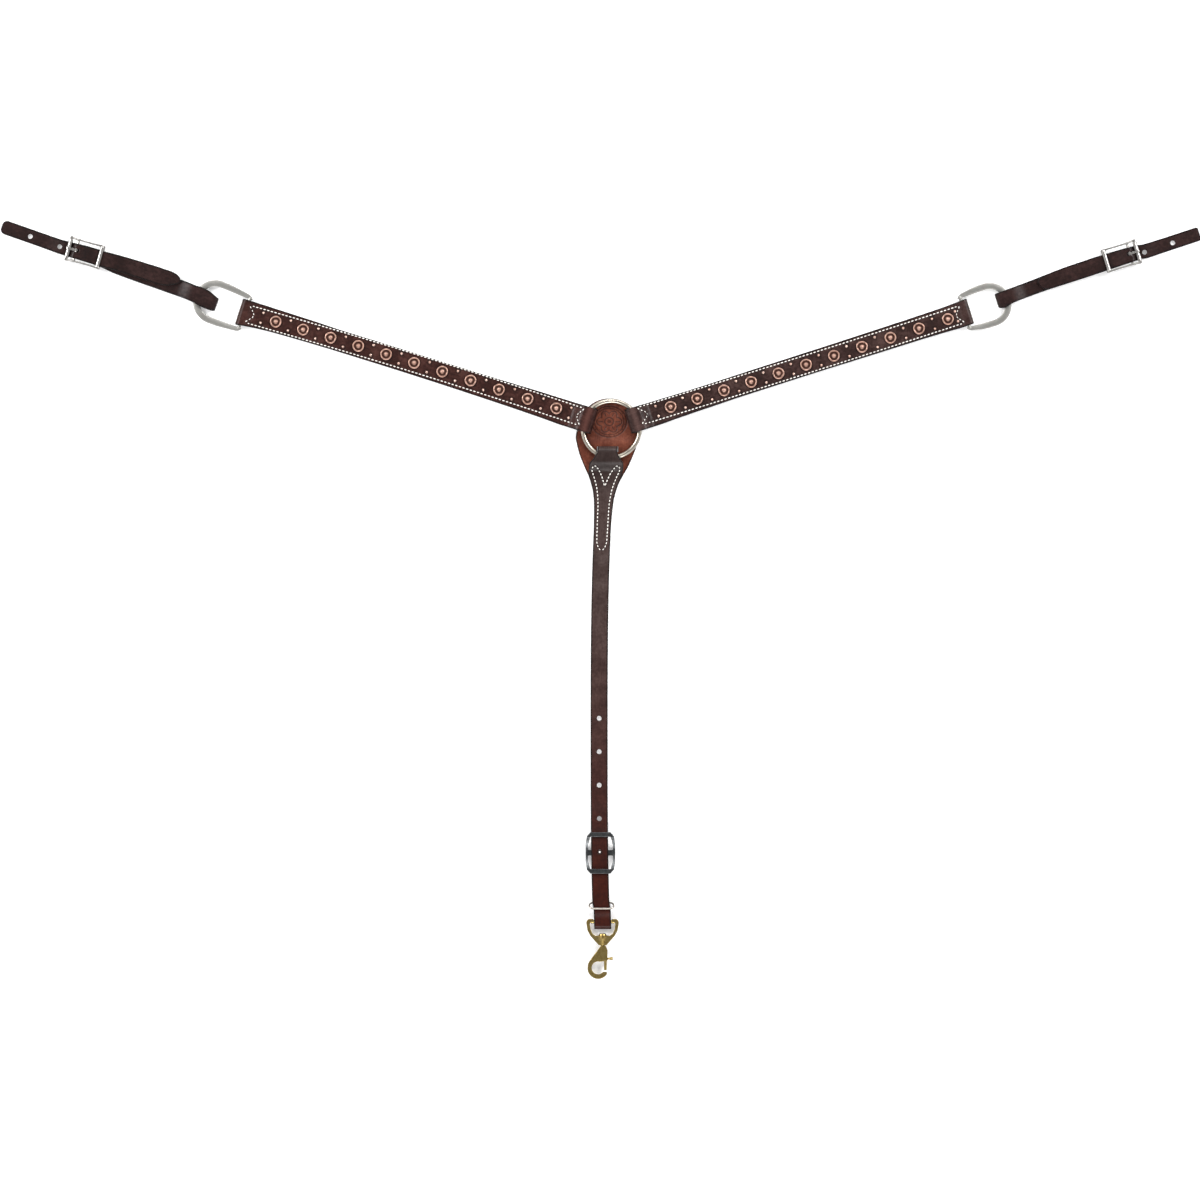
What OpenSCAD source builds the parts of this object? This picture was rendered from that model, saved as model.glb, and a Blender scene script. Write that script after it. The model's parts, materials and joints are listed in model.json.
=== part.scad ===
// Western breast collar, laid flat with its studs up.
// Origin on the surface it lies on, under the middle of the centre ring.
// X runs across the horse, Y runs away from the girth strap, Z is up.

/* [Leather] */
// Thickness of every leather layer
hide_t = 2.8; // [2.6:0.1:2.8]
// Width of the tug straps at their tips
tug_w = 19.5; // [18:0.5:19.5]
// Width of the girth strap
girth_w = 24; // [22.5:0.5:24]

/* [Centre ring] */
// Outside diameter of the ring
ring_od = 85.4; // [85:0.2:86]
// Wire diameter of the ring
ring_wire = 6.6; // [6.2:0.1:6.6]

/* [Breast straps] */
// Direction of the left strap, degrees from +X
left_dir = 162.7; // [158:0.1:166]
// Direction of the right strap, degrees from +X
right_dir = 17.5; // [14:0.1:22]
// Ring centre to left dee bar
left_bar = 538.5; // [532:0.5:542]
// Ring centre to right dee bar
right_bar = 521; // [515:0.5:525]

/* [Studs] */
// Studs on each breast strap
stud_n = 11; // [7:1:11]
// Outside diameter of a stud
stud_d = 16.6; // [14:0.2:17]
// Diameter of a small domed spot
spot_d = 5.2; // [4:0.1:5.6]

/* [Dees] */
// Outside width of a dee
dee_w = 61.8; // [61.4:0.2:62.6]
// Left dee, from its bar's centre to its far end
left_dee_l = 74.5; // [73:0.5:76]
// Right dee, from its bar's centre to its far end
right_dee_l = 67; // [66:0.5:69]
// Width of the dee's flat stock
dee_stock = 9; // [8:0.5:9]

/* [Tugs] */
// Direction of the left tug, degrees from +X
left_tug_dir = 160.7; // [158:0.1:164]
// Direction of the right tug, degrees from +X
right_tug_dir = 18.3; // [15:0.1:22]
// Dee end stock to the left tug's fold
left_grip = 29.8; // [28:0.1:30]
// Dee end stock to the right tug's fold
right_grip = 15.6; // [15:0.1:17]

/* [Girth strap] */
// Middle of the adjusting stud, below the ring centre
conway_y = 592.6; // [580:0.2:600]
// Pitch of the adjusting holes
hole_pitch = 46.75; // [40:0.25:50]
// Radius of every punched hole
hole_r = 3.3; // [2.8:0.1:3.4]

/* [Hidden] */

half_t = hide_t / 2;
seam = 0.1;
layer_gap = 0.3;
floor_z = half_t;
second_z = floor_z + hide_t + seam;
$fn = 64;

// Centre ring: height of the wire's middle, set by the safe and one lap below it
safe_clear = 0.4;
wire_clear = 0.35;
ring_r = (ring_od - ring_wire) / 2;
wire_r = ring_wire / 2;
lap_z = hide_t + safe_clear + half_t;
ring_fold_r = wire_r + wire_clear + half_t;
ring_z = lap_z + ring_fold_r;
ring_fold_edge = 25;
ring_fold_s = ring_fold_edge + ring_fold_r + half_t;

// Dee bars, in the breast straps' outer folds
dee_bar_r = 2.5;
bar_clear = 0.3;
dee_fold_r = dee_bar_r + bar_clear + half_t;
dee_z = floor_z + dee_fold_r;
dee_fold_past = 2.4;
dee_t = 4;
dee_end_r = dee_w / 2;
left_dee_end = left_dee_l - dee_end_r;
right_dee_end = right_dee_l - dee_end_r;
lap_l = 40;
left_dee_turn = -4;
right_dee_turn = 0;
left_dee_side = 1.3;
right_dee_side = 2;

// Each breast strap passes a little above the ring's middle and bows: its offset to the left of the
// strap's direction, and how far its ends turn that way
left_bend = [-7.2, 3.5];
right_bend = [3.6, 1.4];
// The straps are waisted: place along the strap, then its two edges there
left_sides = [[20, -20.6, 15.4], [70, -20.7, 15.3], [90, -20.7, 14.4], [110, -20.7, 13.6],
    [150, -20.4, 12.5], [200, -20, 11.5], [260, -20, 10.6], [330, -20.1, 10.1], [400, -20, 10.1],
    [440, -20.8, 10.5], [480, -21.2, 11.3], [500, -21.4, 12], [515, -21.6, 13], [530, -21.6, 14.6],
    [552, -21.3, 16.8]];
right_sides = [[20, -14.8, 20.2], [70, -14.4, 19.9], [90, -13.6, 19.7], [120, -12.7, 19.4],
    [150, -12.1, 19.5], [180, -11.4, 19.8], [220, -11.1, 20.2], [300, -10.7, 20.7], [400, -10.9, 21.6],
    [440, -10.9, 22.1], [480, -11.3, 22.8], [500, -11.8, 23.4], [512, -12.2, 24], [535, -11.3, 25.1]];
lining_start = 72.5;

// Studs and spots, from the ring centre along each strap
left_studs_at = [84.2, 41.1, -3.5];
right_studs_at = [85.6, 40.7, 5];
rest_gap = 0.03;
spot_side = 7.2;
left_spot_gaps = [20, 20];
right_spot_gaps = [20, 12.7];
stud_shift = 0.6;
stitch_shift = 0.9;
stitch_side = 12.5;
thread_w = 0.9;
thread_h = 0.5;

// Tugs, from the dee fold outward
tug_lift = 2;
tug_step = hide_t + layer_gap;
left_tug = [58, 176.2, 221.6, 234.7, 278.3, 320.8];
right_tug = [62.5, 163.2, 208.6, 218.6, 260.1, 299.8];
bar_gap = 10.8;
centre_bar_r = 1.8;
centre_bar_z = 9.9;
bar_fold_r = centre_bar_r + 0.25 + half_t;
bar_fold_past = 0.7;
end_bar_z = 8.4;
end_bar_r = 2;
roller_bore = end_bar_r + 0.05;
roller_r = 3.2;
roller_l = 10.4;
roller_at = 7.9;
tongue_w = 3.2;
tongue_bore = centre_bar_r + 0.05;
slot_w = 4.8;

// The girth strap hangs a little to one side of the ring; its parts are measured from here
girth_at = [-2.5, 1, 0];
bow = 14.5;
bow_mid = 430;
eye_shift = 1.6;
neck_fold_y = -33.5;
neck_top_z = ring_z + wire_r + 1.7 + half_t;
neck_fold_r = (neck_top_z - floor_z) / 2;
safe_low = hide_t + 0.1;
safe_slot = [-32.9, -25.1];
raise = hide_t;
tail_end = -552;
eye_y = -690;
eye_bar_r = 2.7;
eye_z = 6;
eye_fold_r = eye_bar_r + 0.3 + half_t;
eye_fold_y = -694.9;
snap_x = -9.7;
conway_x = -12.7;
keeper_x = -11.2;

// Smooth step from a to b while v goes from v0 to v1
function ease(v, v0, v1, a, b) =
    let (u = max(0, min(1, (v - v0) / (v1 - v0)))) a + (b - a) * u * u * (3 - 2 * u);
// Numbers from a to b in n steps
function steps(a, b, n) = [for (i = [0:n]) a + (b - a) * i / n];
// Arc of radius r about c, from angle a0 to a1
function arc(c, r, a0, a1, n = 12) =
    [for (a = steps(a0, a1, n)) [c[0] + r * cos(a), c[1] + r * sin(a)]];
function unit(v) = v / norm(v);
// Direction of a path at point i
function path_dir(p, i) = unit(p[min(i + 1, len(p) - 1)] - p[max(i - 1, 0)]);
// Path moved sideways by d
function path_side(p, d) =
    [for (i = [0:len(p) - 1]) let (t = path_dir(p, i)) p[i] + d * [-t[1], t[0]]];
// Closed outline of a layer of leather that follows a path
function layer(p, t = hide_t) =
    let (a = path_side(p, t / 2), b = path_side(p, -t / 2)) concat(a, [for (i = [len(b) - 1:-1:0]) b[i]]);

// Side view (along, up) given a width in the plan
module across(outline, w) {
    rotate([90, 0, 0])
        linear_extrude(w, center = true)
            polygon(outline);
}
// Side view (Y, up) given a width along X
module along_x(outline, w) {
    rotate([90, 0, 90])
        linear_extrude(w, center = true)
            polygon(outline);
}
module plan(outline, z0, z1) {
    translate([0, 0, z0])
        linear_extrude(z1 - z0)
            polygon(outline);
}
module bar_y(r, l) {
    rotate([90, 0, 0])
        cylinder(h = l, r = r, center = true);
}
module bar_x(r, l) {
    rotate([0, 90, 0])
        cylinder(h = l, r = r, center = true);
}
module left_side() {
    rotate([0, 0, left_dir])
        children();
}
module right_side() {
    rotate([0, 0, right_dir])
        children();
}

// ---- centre ring and safe ----
module centre_ring() {
    color("silver")
        translate([0, 0, ring_z])
            rotate_extrude($fn = 128)
                translate([ring_r, 0])
                    circle(wire_r);
}

// Middle of the girth strap at height y: a gentle bow to the left, and back towards the snap's eye
function girth_mid(y) =
    ease(y, -676, -658, eye_shift, 0) - bow * (1 - pow(abs((y + bow_mid) / bow_mid), 3));
function safe_z(y) = ease(y, -24, -15.5, safe_low + half_t, floor_z);
safe_sides = [[-12, 44.3, -1.8], [-22, 42.3, -1.3], [-33, 38.9, -0.9], [-44, 34.7, -0.3], [-55, 29.9, 0.3],
    [-66, 24.2, 0.4], [-78, 19.2, 0], [-89, 16, 0.2], [-95, 14.9, 0]];
module centre_safe() {
    side_r = [for (p = safe_sides) [girth_mid(p[0]) + p[2] + p[1], p[0]]];
    side_l = [for (i = [len(safe_sides) - 1:-1:0]) let (p = safe_sides[i])
        [girth_mid(p[0]) + p[2] - p[1], p[0]]];
    profile = [for (y = concat([-96, -60], steps(-25, -15, 10), [0, 44])) [y, safe_z(y)]];
    color("#5c2e26")
        difference() {
            intersection() {
                along_x(layer(profile), 120);
                plan(concat(arc([0, 0], 42.5, 165, 15, 24), side_r, side_l), -1, 12);
            }
            translate([girth_mid(-29) - 14.8, safe_slot[0], -1])
                cube([29.6, safe_slot[1] - safe_slot[0], 12]);
        }
}

// ---- girth strap ----
function girth_z(y) =
    y > -96 ? ease(y, -62, -44, safe_low + hide_t + layer_gap + half_t, neck_top_z)
    : y > -172 ? ease(y, -118, -96, floor_z + tug_step, safe_low + hide_t + layer_gap + half_t)
    : y > -300 ? ease(y, -195, -172, floor_z, floor_z + tug_step)
    : y > -548 ? ease(y, -544, -518, floor_z + tug_step, floor_z)
    : y > -672 ? ease(y, -575, -552, raise + floor_z + tug_step, floor_z + tug_step)
    : ease(y, -687, -675, eye_z + eye_fold_r, raise + floor_z + tug_step);
function tail_z(y) =
    y > -672 ? ease(y, -575, -552, raise + floor_z, floor_z)
    : ease(y, -687, -675, eye_z - eye_fold_r, raise + floor_z);
girth_path = concat(
    [for (y = [-176, -100, -50]) [y, floor_z]],
    arc([neck_fold_y, floor_z + neck_fold_r], neck_fold_r, -90, 90, 18),
    [for (y = steps(-42, -64, 11)) [y, girth_z(y)]],
    [for (y = steps(-95, -119, 8)) [y, girth_z(y)]],
    [for (y = steps(-171, -196, 8)) [y, girth_z(y)]],
    [for (y = steps(-517, -576, 16)) [y, girth_z(y)]],
    [for (y = steps(-674, -688, 7)) [y, girth_z(y)]],
    arc([eye_fold_y, eye_z], eye_fold_r, 90, 270, 18),
    [for (y = steps(-688, -674, 7)) [y, tail_z(y)]],
    [for (y = steps(-576, tail_end, 8)) [y, tail_z(y)]]
);
// Half width of the strap at height y, from the neck down
head = [[-20, 14], [-33, 14], [-38, 16.6], [-43, 19], [-47, 22.6], [-50, 23.6], [-66, 23.6], [-78, 18.6],
    [-89, 15.8], [-100, 14], [-122, 12.8], [-145, girth_w / 2]];
function girth_plan() =
    let (below = [for (y = steps(-175, -710, 30)) [y, girth_w / 2]], all = concat(head, below))
    concat([for (p = all) [girth_mid(p[0]) + p[1], p[0]]],
        [for (i = [len(all) - 1:-1:0]) [girth_mid(all[i][0]) - all[i][1], all[i][0]]]);
// The hidden fold-back is as wide as the slot lets it be
module girth_strap() {
    color("#3a1f1c")
        difference() {
            intersection() {
                along_x(layer(girth_path), 90);
                plan(girth_plan(), -1, 30);
            }
            for (i = [0:4])
                translate([girth_mid(-conway_y + i * hole_pitch), -conway_y + i * hole_pitch, -1])
                    cylinder(h = 20, r = hole_r);
            back_w = 14;
            for (side = [-1, 1])
                translate([girth_mid(-60) + side * (back_w + 20), -60, floor_z])
                    cube([40, 90, hide_t + 0.2], center = true);
        }
}

// Rows of thread lie on the leather: here each row is one thin strip
module thread_row(a, b) {
    d = b - a;
    translate([a[0], a[1], 0])
        rotate([0, 0, atan2(d[1], d[0])])
            translate([0, -thread_w / 2, 0])
                cube([norm(d), thread_w, thread_h]);
}
module girth_stitching() {
    top = girth_z(-150) + half_t + rest_gap;
    color("ivory")
        translate([0, 0, top])
            for (side = [-1, 1])
                thread_row([girth_mid(-120) + side * 9.4, -120], [girth_mid(-168) + side * 8.6, -168]);
}

// ---- breast straps ----
// Offset of the strap's middle to the left of its direction, s along it from the ring
function arm_mid(s, bend) = bend[0] + bend[1] * pow((s - 260) / 266, 2);
function arm_low(s) = ease(s, 48, 60, lap_z, floor_z);
function arm_top(s, bar) =
    s < 200 ? ease(s, 43, 61, ring_z + ring_fold_r, second_z)
    : ease(s, bar - 14, bar - 3, second_z, dee_z + dee_fold_r);
function arm_path(bar) = concat(
    [for (s = steps(72, 62, 2)) [s, floor_z]],
    [for (s = steps(61, 47, 8)) [s, arm_low(s)]],
    arc([ring_fold_s, ring_z], ring_fold_r, 270, 90, 18),
    [for (s = steps(42, 62, 12)) [s, arm_top(s, bar)]],
    [for (s = steps(bar - 15, bar - 2, 10)) [s, arm_top(s, bar)]],
    arc([bar + dee_fold_past, dee_z], dee_fold_r, 90, -90, 18),
    [[bar - lap_l, floor_z]]
);
// Plan of a band of half width w that follows a strap's bend from a to b, d to the side of its middle
band_n = 24;
function band(a, b, w, bend, d = 0) =
    let (at = steps(a, b, band_n))
    concat([for (s = at) [s, arm_mid(s, bend) + d - w]],
        [for (i = [band_n:-1:0]) [at[i], arm_mid(at[i], bend) + d + w]]);
module breast_strap(bar, sides) {
    color("#43221f")
        intersection() {
            across(layer(arm_path(bar)), 70);
            plan(edges(sides), -1, 30);
        }
}
module breast_lining(bar, sides) {
    color("#2e1815")
        intersection() {
            plan(edges(sides), 0, hide_t);
            translate([lining_start, -50, -1])
                cube([bar - lap_l - 0.5 - lining_start, 100, 20]);
        }
}

// One concho stud: raised rim, groove and central dome
stud_r = stud_d / 2;
stud_profile = concat([[0, 0], [stud_r, 0]],
    arc([stud_r - 1.2, 1], 1.2, 0, 90, 6),
    [[stud_r - 2.2, 1.9], [stud_r - 3.1, 1.1], [3.7, 1.1]],
    arc([0, 0.6], 3.4, 20, 90, 8));
// Studs are set by eye, a little closer together towards one part of the strap than another
function stud_s(i, at) = at[0] + i * at[1] + at[2] * (pow((i - 5) / 5, 2) - 0.4);
module stud_row(at, bend) {
    color("#b87755")
        for (i = [0:stud_n - 1])
            let (s = stud_s(i, at))
            translate([s, arm_mid(s, bend) + stud_shift, second_z + half_t + rest_gap])
                rotate_extrude($fn = 48)
                    polygon(stud_profile);
}
// Pairs of spots: one pair midway between studs, and one beyond each end
spot_profile = concat([[0, 0], [spot_d / 2, 0]], arc([0, -0.9], 2.75, 19, 90, 6));
function spot_s(i, at, gaps) =
    i < 0 ? stud_s(0, at) - gaps[0]
    : i == stud_n - 1 ? stud_s(i, at) + gaps[1]
    : (stud_s(i, at) + stud_s(i + 1, at)) / 2;
// A spot on a slope stands on the slope's higher side
function spot_z(s, bar) =
    max(arm_top(s - spot_d / 2, bar), arm_top(s + spot_d / 2, bar)) + half_t + rest_gap;
module spot_row(at, bend, bar, gaps) {
    color("#7a4a38")
        for (i = [-1:stud_n - 1])
            for (side = [-1, 1])
                let (s = spot_s(i, at, gaps))
                translate([s, arm_mid(s, bend) + stud_shift + side * spot_side, spot_z(s, bar)])
                    rotate_extrude($fn = 32)
                        polygon(spot_profile);
}
module arm_stitching(bar, bend) {
    z = second_z + half_t + rest_gap;
    color("ivory")
        for (side = [-1, 1])
            let (d = stitch_shift + side * stitch_side)
            plan(band(64, bar - 16, thread_w / 2, bend, d), z, z + thread_h);
}

// ---- dees ----
// Flat stock in the plan, u from the bar outward; the bar itself is round
module dee(end) {
    half = dee_w / 2;
    inner_r = dee_end_r - dee_stock;
    outer = concat(
        arc([4.5, half - 13.2], 9.5, 180, 92, 7),
        [[8, half - 3.1], [end - 21, half - 1.3], [end - 10, half - 0.3]],
        arc([end, 0], dee_end_r, 97, -97, 32),
        [[end - 10, 0.3 - half], [end - 21, 1.3 - half], [8, 3.1 - half]],
        arc([4.5, 13.2 - half], 9.5, 268, 180, 7));
    inner = concat(
        [[-10, -inner_r + 0.9], [8, -inner_r + 0.8], [end - 12, -inner_r + 0.2]],
        arc([end, 0], inner_r, -96, 96, 32),
        [[end - 12, inner_r - 0.2], [8, inner_r - 0.8], [-10, inner_r - 0.9]]);
    color("darkgray") {
        difference() {
            plan(outer, -dee_t / 2, dee_t / 2);
            plan(inner, -dee_t, dee_t);
        }
        bar_y(dee_bar_r, 2 * inner_r + 3);
    }
}

module left_dee_place() {
    left_side()
        translate([left_bar, arm_mid(left_bar, left_bend) + left_dee_side, dee_z])
            rotate([0, 0, left_dee_turn])
                children();
}
module right_dee_place() {
    right_side()
        translate([right_bar, arm_mid(right_bar, right_bend) + right_dee_side, dee_z])
            rotate([0, 0, right_dee_turn])
                children();
}

// ---- tugs ----
// Marks: pointed end, keeper, end bar, two holes, tip
function tug_rise(s, m) =
    s < m[2] - 20 ? ease(s, m[1] - 38, m[1] - 14, 0, tug_lift) : ease(s, m[2] + 6, m[2] + 34, tug_lift, 0);
dee_top = dee_z + dee_t / 2;
over_dee_z = dee_top + 0.4 + half_t;
dee_turn_r = (over_dee_z - floor_z) / 2;
function lower_path(m, grip) =
    let (bar = m[2] - bar_gap)
    concat(
        [[m[5] + 1, floor_z]],
        [for (s = steps(m[2] + 36, m[2] + 4, 8)) [s, floor_z + tug_rise(s, m)]],
        [for (s = steps(m[1] - 12, m[1] - 40, 7)) [s, floor_z + tug_rise(s, m)]],
        arc([dee_turn_r + half_t, floor_z + dee_turn_r], dee_turn_r, 270, 90, 18),
        [for (s = steps(grip + 5, grip + 33, 9))
            [s, ease(s, grip + 7, grip + 31, over_dee_z, floor_z + tug_step)]],
        [for (s = steps(m[1] - 40, m[1] - 12, 7)) [s, floor_z + tug_step + tug_rise(s, m)]],
        [for (s = steps(bar - 12, bar - 2, 4)) [s, ease(s, bar - 11, bar - 2, floor_z + tug_step + tug_lift,
            centre_bar_z - bar_fold_r)]],
        arc([bar + bar_fold_past, centre_bar_z], bar_fold_r, -90, 90, 16));
function upper_path(m) =
    let (bar = m[2] - bar_gap, z = floor_z + 2 * tug_step)
    concat(
        [for (s = steps(m[0] - 1, m[1] - 40, 2)) [s, z]],
        [for (s = steps(m[1] - 38, m[1] - 12, 6)) [s, z + tug_rise(s, m)]],
        [for (s = steps(bar - 22, bar - 2, 9))
            [s, ease(s, bar - 22, bar - 3, z + tug_lift, centre_bar_z + bar_fold_r)]],
        [[bar + bar_fold_past, centre_bar_z + bar_fold_r]]);
// Plans of the layers, each row being a place along the tug and the strap's two edges there
left_lower = [[-1, -4.4, 12.4], [3, -5.8, 14], [8, -7.6, 14.6], [18.5, -11.2, 14.2], [30, -12, 12.6],
    [36, -11.8, 11.6], [52, -12.6, 10.8], [120, -12.7, 10.7],
    [150, -13, 10.2], [170, -14.2, 8.4], [186, -14.2, 8], [223, -11.3, 9.3], [236, -10.2, 9.8]];
right_lower = [[-1, -5, 7.5], [0.5, -8, 9.5], [3, -11, 10.5], [8, -12.3, 10.6], [24, -9.4, 11.2],
    [54, -8, 12.4], [76, -7.6, 13.6],
    [110, -7.9, 14.9], [150, -8.1, 14.9], [186, -7.9, 14.2], [209, -7.8, 13], [222, -9.2, 11.1]];
left_upper = [[58, -11.5, -8.5], [62, -15.2, -5.2], [68, -18, -1.6], [75, -19.1, 1.8], [88, -19, 4.2],
    [120, -18, 4.9], [150, -16.4, 5.8], [172, -14.6, 7.6], [186, -14.2, 8.2], [223, -11.3, 9.3]];
right_upper = [[62.5, 4.4, 7.4], [65, 0, 10], [70, -5.6, 12.7], [77, -7.6, 13.5], [110, -8, 15.1],
    [140, -8.2, 15.2], [163, -7.6, 14.9], [186, -7.9, 14.2], [209, -7.8, 13]];
function edges(rows, tip = []) =
    concat([for (r = rows) [r[0], r[1]]], tip, [for (i = [len(rows) - 1:-1:0]) [rows[i][0], rows[i][2]]]);
// The tip's end, with corners of radius r, about the height c
function tip_end(e, r, c) =
    let (h = tug_w / 2)
    concat(arc([e - r, c + r - h], r, 270, 360, 8), arc([e - r, c + h - r], r, 0, 90, 8));
module tug_strap(m, grip, lower, upper, tip_r, tip_c, turn) {
    bar = m[2] - bar_gap;
    color("#33191a")
        difference() {
            union() {
                intersection() {
                    across(layer(lower_path(m, grip)), 50);
                    plan(edges(lower, tip_end(m[5], tip_r, tip_c)), -1, 20);
                }
                intersection() {
                    across(layer(upper_path(m)), 50);
                    plan(edges(upper), 2, 20);
                }
            }
            for (s = [m[3], m[4]])
                translate([s, 0, -1])
                    cylinder(h = 12, r = hole_r);
            buckle_place(m, turn)
                translate([bar - 6.5, -slot_w / 2, floor_z + half_t + tug_lift + 0.15])
                    cube([20, slot_w, 20]);
        }
}
// The buckle sits a little askew on its tug: turn is its offset at the end bar and its angle
module buckle_place(m, turn) {
    translate([m[2], turn[0], 0])
        rotate([0, 0, turn[1]])
            translate([-m[2], 0, 0])
                children();
}

buckle_inner = 14;
// Buckle frame: end bar, centre bar and a keeper loop, joined by two curved rails
module buckle_frame(m) {
    k = m[1];
    e = m[2];
    bar = e - bar_gap;
    inner = buckle_inner;
    outer = concat(
        [[k - 3, -17], [k + 4, -16.9], [k + 14, -16.5], [k + 26, -16.5], [e - 6, -17.2], [e, -18]],
        arc([e, -15.6], 2.4, 270, 360, 4),
        arc([e, 15.6], 2.4, 0, 90, 4),
        [[e, 18], [e - 6, 17.2], [k + 26, 16.5], [k + 14, 16.5], [k + 4, 16.9], [k - 3, 17]]);
    rail = [[k - 3, 9.4], [k + 8, 10.4], [k + 22, 9.6], [bar, 8], [e - 2, 6.2], [e + 2.4, 6.2],
        [e + 2.4, 10.6], [e - 2, 10.8], [bar, 12.2], [k + 22, 13.4], [k + 8, 14.2], [k - 3, 14.4]];
    color("gainsboro") {
        intersection() {
            difference() {
                plan(outer, 0, 20);
                plan([[k - 9, -inner], [k - 9, inner], [e + 9, inner], [e + 9, -inner]], -1, 21);
            }
            across(rail, 40);
        }
        translate([e, 0, end_bar_z])
            bar_y(end_bar_r, 2 * inner + 1);
        translate([bar, 0, centre_bar_z])
            bar_y(centre_bar_r, 2 * inner + 1);
        keeper_bars(k, inner);
    }
}
keeper_w = 6;
keeper_back_t = 1.5;
keeper_front_z = 11.4;
module keeper_bars(k, inner) {
    front = concat([[k - 3, keeper_front_z], [k + 3, keeper_front_z]],
        arc([k, keeper_front_z + 0.6], 3, 10, 170, 10));
    across(front, 2 * inner + 1);
    translate([k - 3, -inner - 3, 0])
        cube([keeper_w, 2 * inner + 6, keeper_back_t]);
    for (side = [-1, 1])
        translate([k - 3, side * (inner + 1.6) - 1.4, 0])
            cube([keeper_w, 2.8, 12]);
}
// Tongue: an eye on the centre bar and a finger that rests on the roller
module buckle_tongue(m) {
    bar = m[2] - bar_gap;
    finger = [[bar + 1, centre_bar_z + 0.2], [bar + 6, 11.7], [m[2] + 2, 11.9], [m[2] + 3, 12.6],
        [m[2] + 2.8, 13.8], [m[2] + 1.8, 14.3], [bar + 5, 14], [bar, centre_bar_z + 3]];
    color("whitesmoke")
        difference() {
            union() {
                translate([bar, 0, centre_bar_z])
                    bar_y(tongue_bore + 1.2, tongue_w);
                across(finger, tongue_w);
            }
            translate([bar, 0, centre_bar_z])
                bar_y(tongue_bore, tongue_w + 2);
        }
}
// Roller: two short tubes with the tongue's room between them
module buckle_roller(m) {
    color("white")
        for (side = [-1, 1])
            translate([m[2], side * roller_at, end_bar_z])
                difference() {
                    bar_y(roller_r, roller_l);
                    bar_y(roller_bore, 12);
                }
}

// Place a tug by the middle of the dee's end arc
module left_tug_frame() {
    left_side()
        translate([left_bar, arm_mid(left_bar, left_bend) + left_dee_side, 0])
            rotate([0, 0, left_dee_turn])
                translate([left_dee_end, 0, 0])
                    rotate([0, 0, left_tug_dir - left_dir - left_dee_turn])
                        translate([stock_mid - left_grip, left_tug_side, 0])
                            children();
}
module right_tug_frame() {
    right_side()
        translate([right_bar, arm_mid(right_bar, right_bend) + right_dee_side, 0])
            rotate([0, 0, right_dee_turn])
                translate([right_dee_end, 0, 0])
                    rotate([0, 0, right_tug_dir - right_dir - right_dee_turn])
                        translate([stock_mid - right_grip, right_tug_side, 0])
                            children();
}
stock_mid = dee_end_r - dee_stock / 2;
left_tug_side = -1.2;
right_tug_side = 1.7;
left_turn = [-2, 3.5];
right_turn = [4.2, -1.3];

// ---- girth adjusting buckle ----
module conway_frame() {
    half_l = 29;
    sag = [for (y = steps(-22, 22, 12)) [y, 1.5 + 9 * pow(y / 22, 2)]];
    band = layer(concat([[-30, 10.5]], sag, [[30, 10.5]]), 3);
    outer = [[-14, half_l], [14, half_l], [19, 23.5], [20.8, 12], [20.8, -12], [19, -23.5], [14, -half_l],
        [-14, -half_l], [-19, -23.5], [-20.8, -12], [-20.8, 12], [-19, 23.5]];
    inner = [[-14.4, 22.5], [14.4, 22.5], [17.4, 11], [17.4, -11], [14.4, -22.5], [-14.4, -22.5],
        [-17.4, -11], [-17.4, 11]];
    color("dimgray")
        translate([conway_x, -conway_y - 1.2, 0]) {
            intersection() {
                along_x(band, 60);
                difference() {
                    plan(outer, -1, 20);
                    plan(inner, -2, 21);
                }
            }
            translate([-18.5, -4, 0])
                cube([37, 8, raise - 0.2]);
        }
}
module conway_stud() {
    color("silver")
        translate([girth_mid(-conway_y), -conway_y, raise - 0.2])
            rotate_extrude($fn = 48)
                polygon(concat([[0, 0], [hole_r - 0.4, 0]], arc([0, 4.8], hole_r - 0.4, 0, 90, 8)));
}
// Wire keeper: a flat oval of wire, leaning down the strap
keeper_wire_r = 1.25;
keeper_front = [-671.6, raise + 2 * hide_t + layer_gap + 0.3 + keeper_wire_r];
keeper_back = [-663.6, keeper_wire_r];
module wire_keeper() {
    d = keeper_front - keeper_back;
    mid = (keeper_front + keeper_back) / 2;
    r = norm(d) / 2;
    half = 18.5 - keeper_wire_r - r;
    color("silver")
        translate([keeper_x, mid[0], mid[1]])
            rotate([atan2(d[1], d[0]) - 90, 0, 0]) {
                for (side = [-1, 1]) {
                    translate([0, 0, side * r])
                        bar_x(keeper_wire_r, 2 * half);
                    translate([side * half, 0, 0])
                        rotate([90, 0, 0])
                            rotate_extrude(angle = 180, start = side > 0 ? -90 : 90, $fn = 48)
                                translate([r, 0])
                                    circle(keeper_wire_r, $fn = 24);
                }
            }
}

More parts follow.
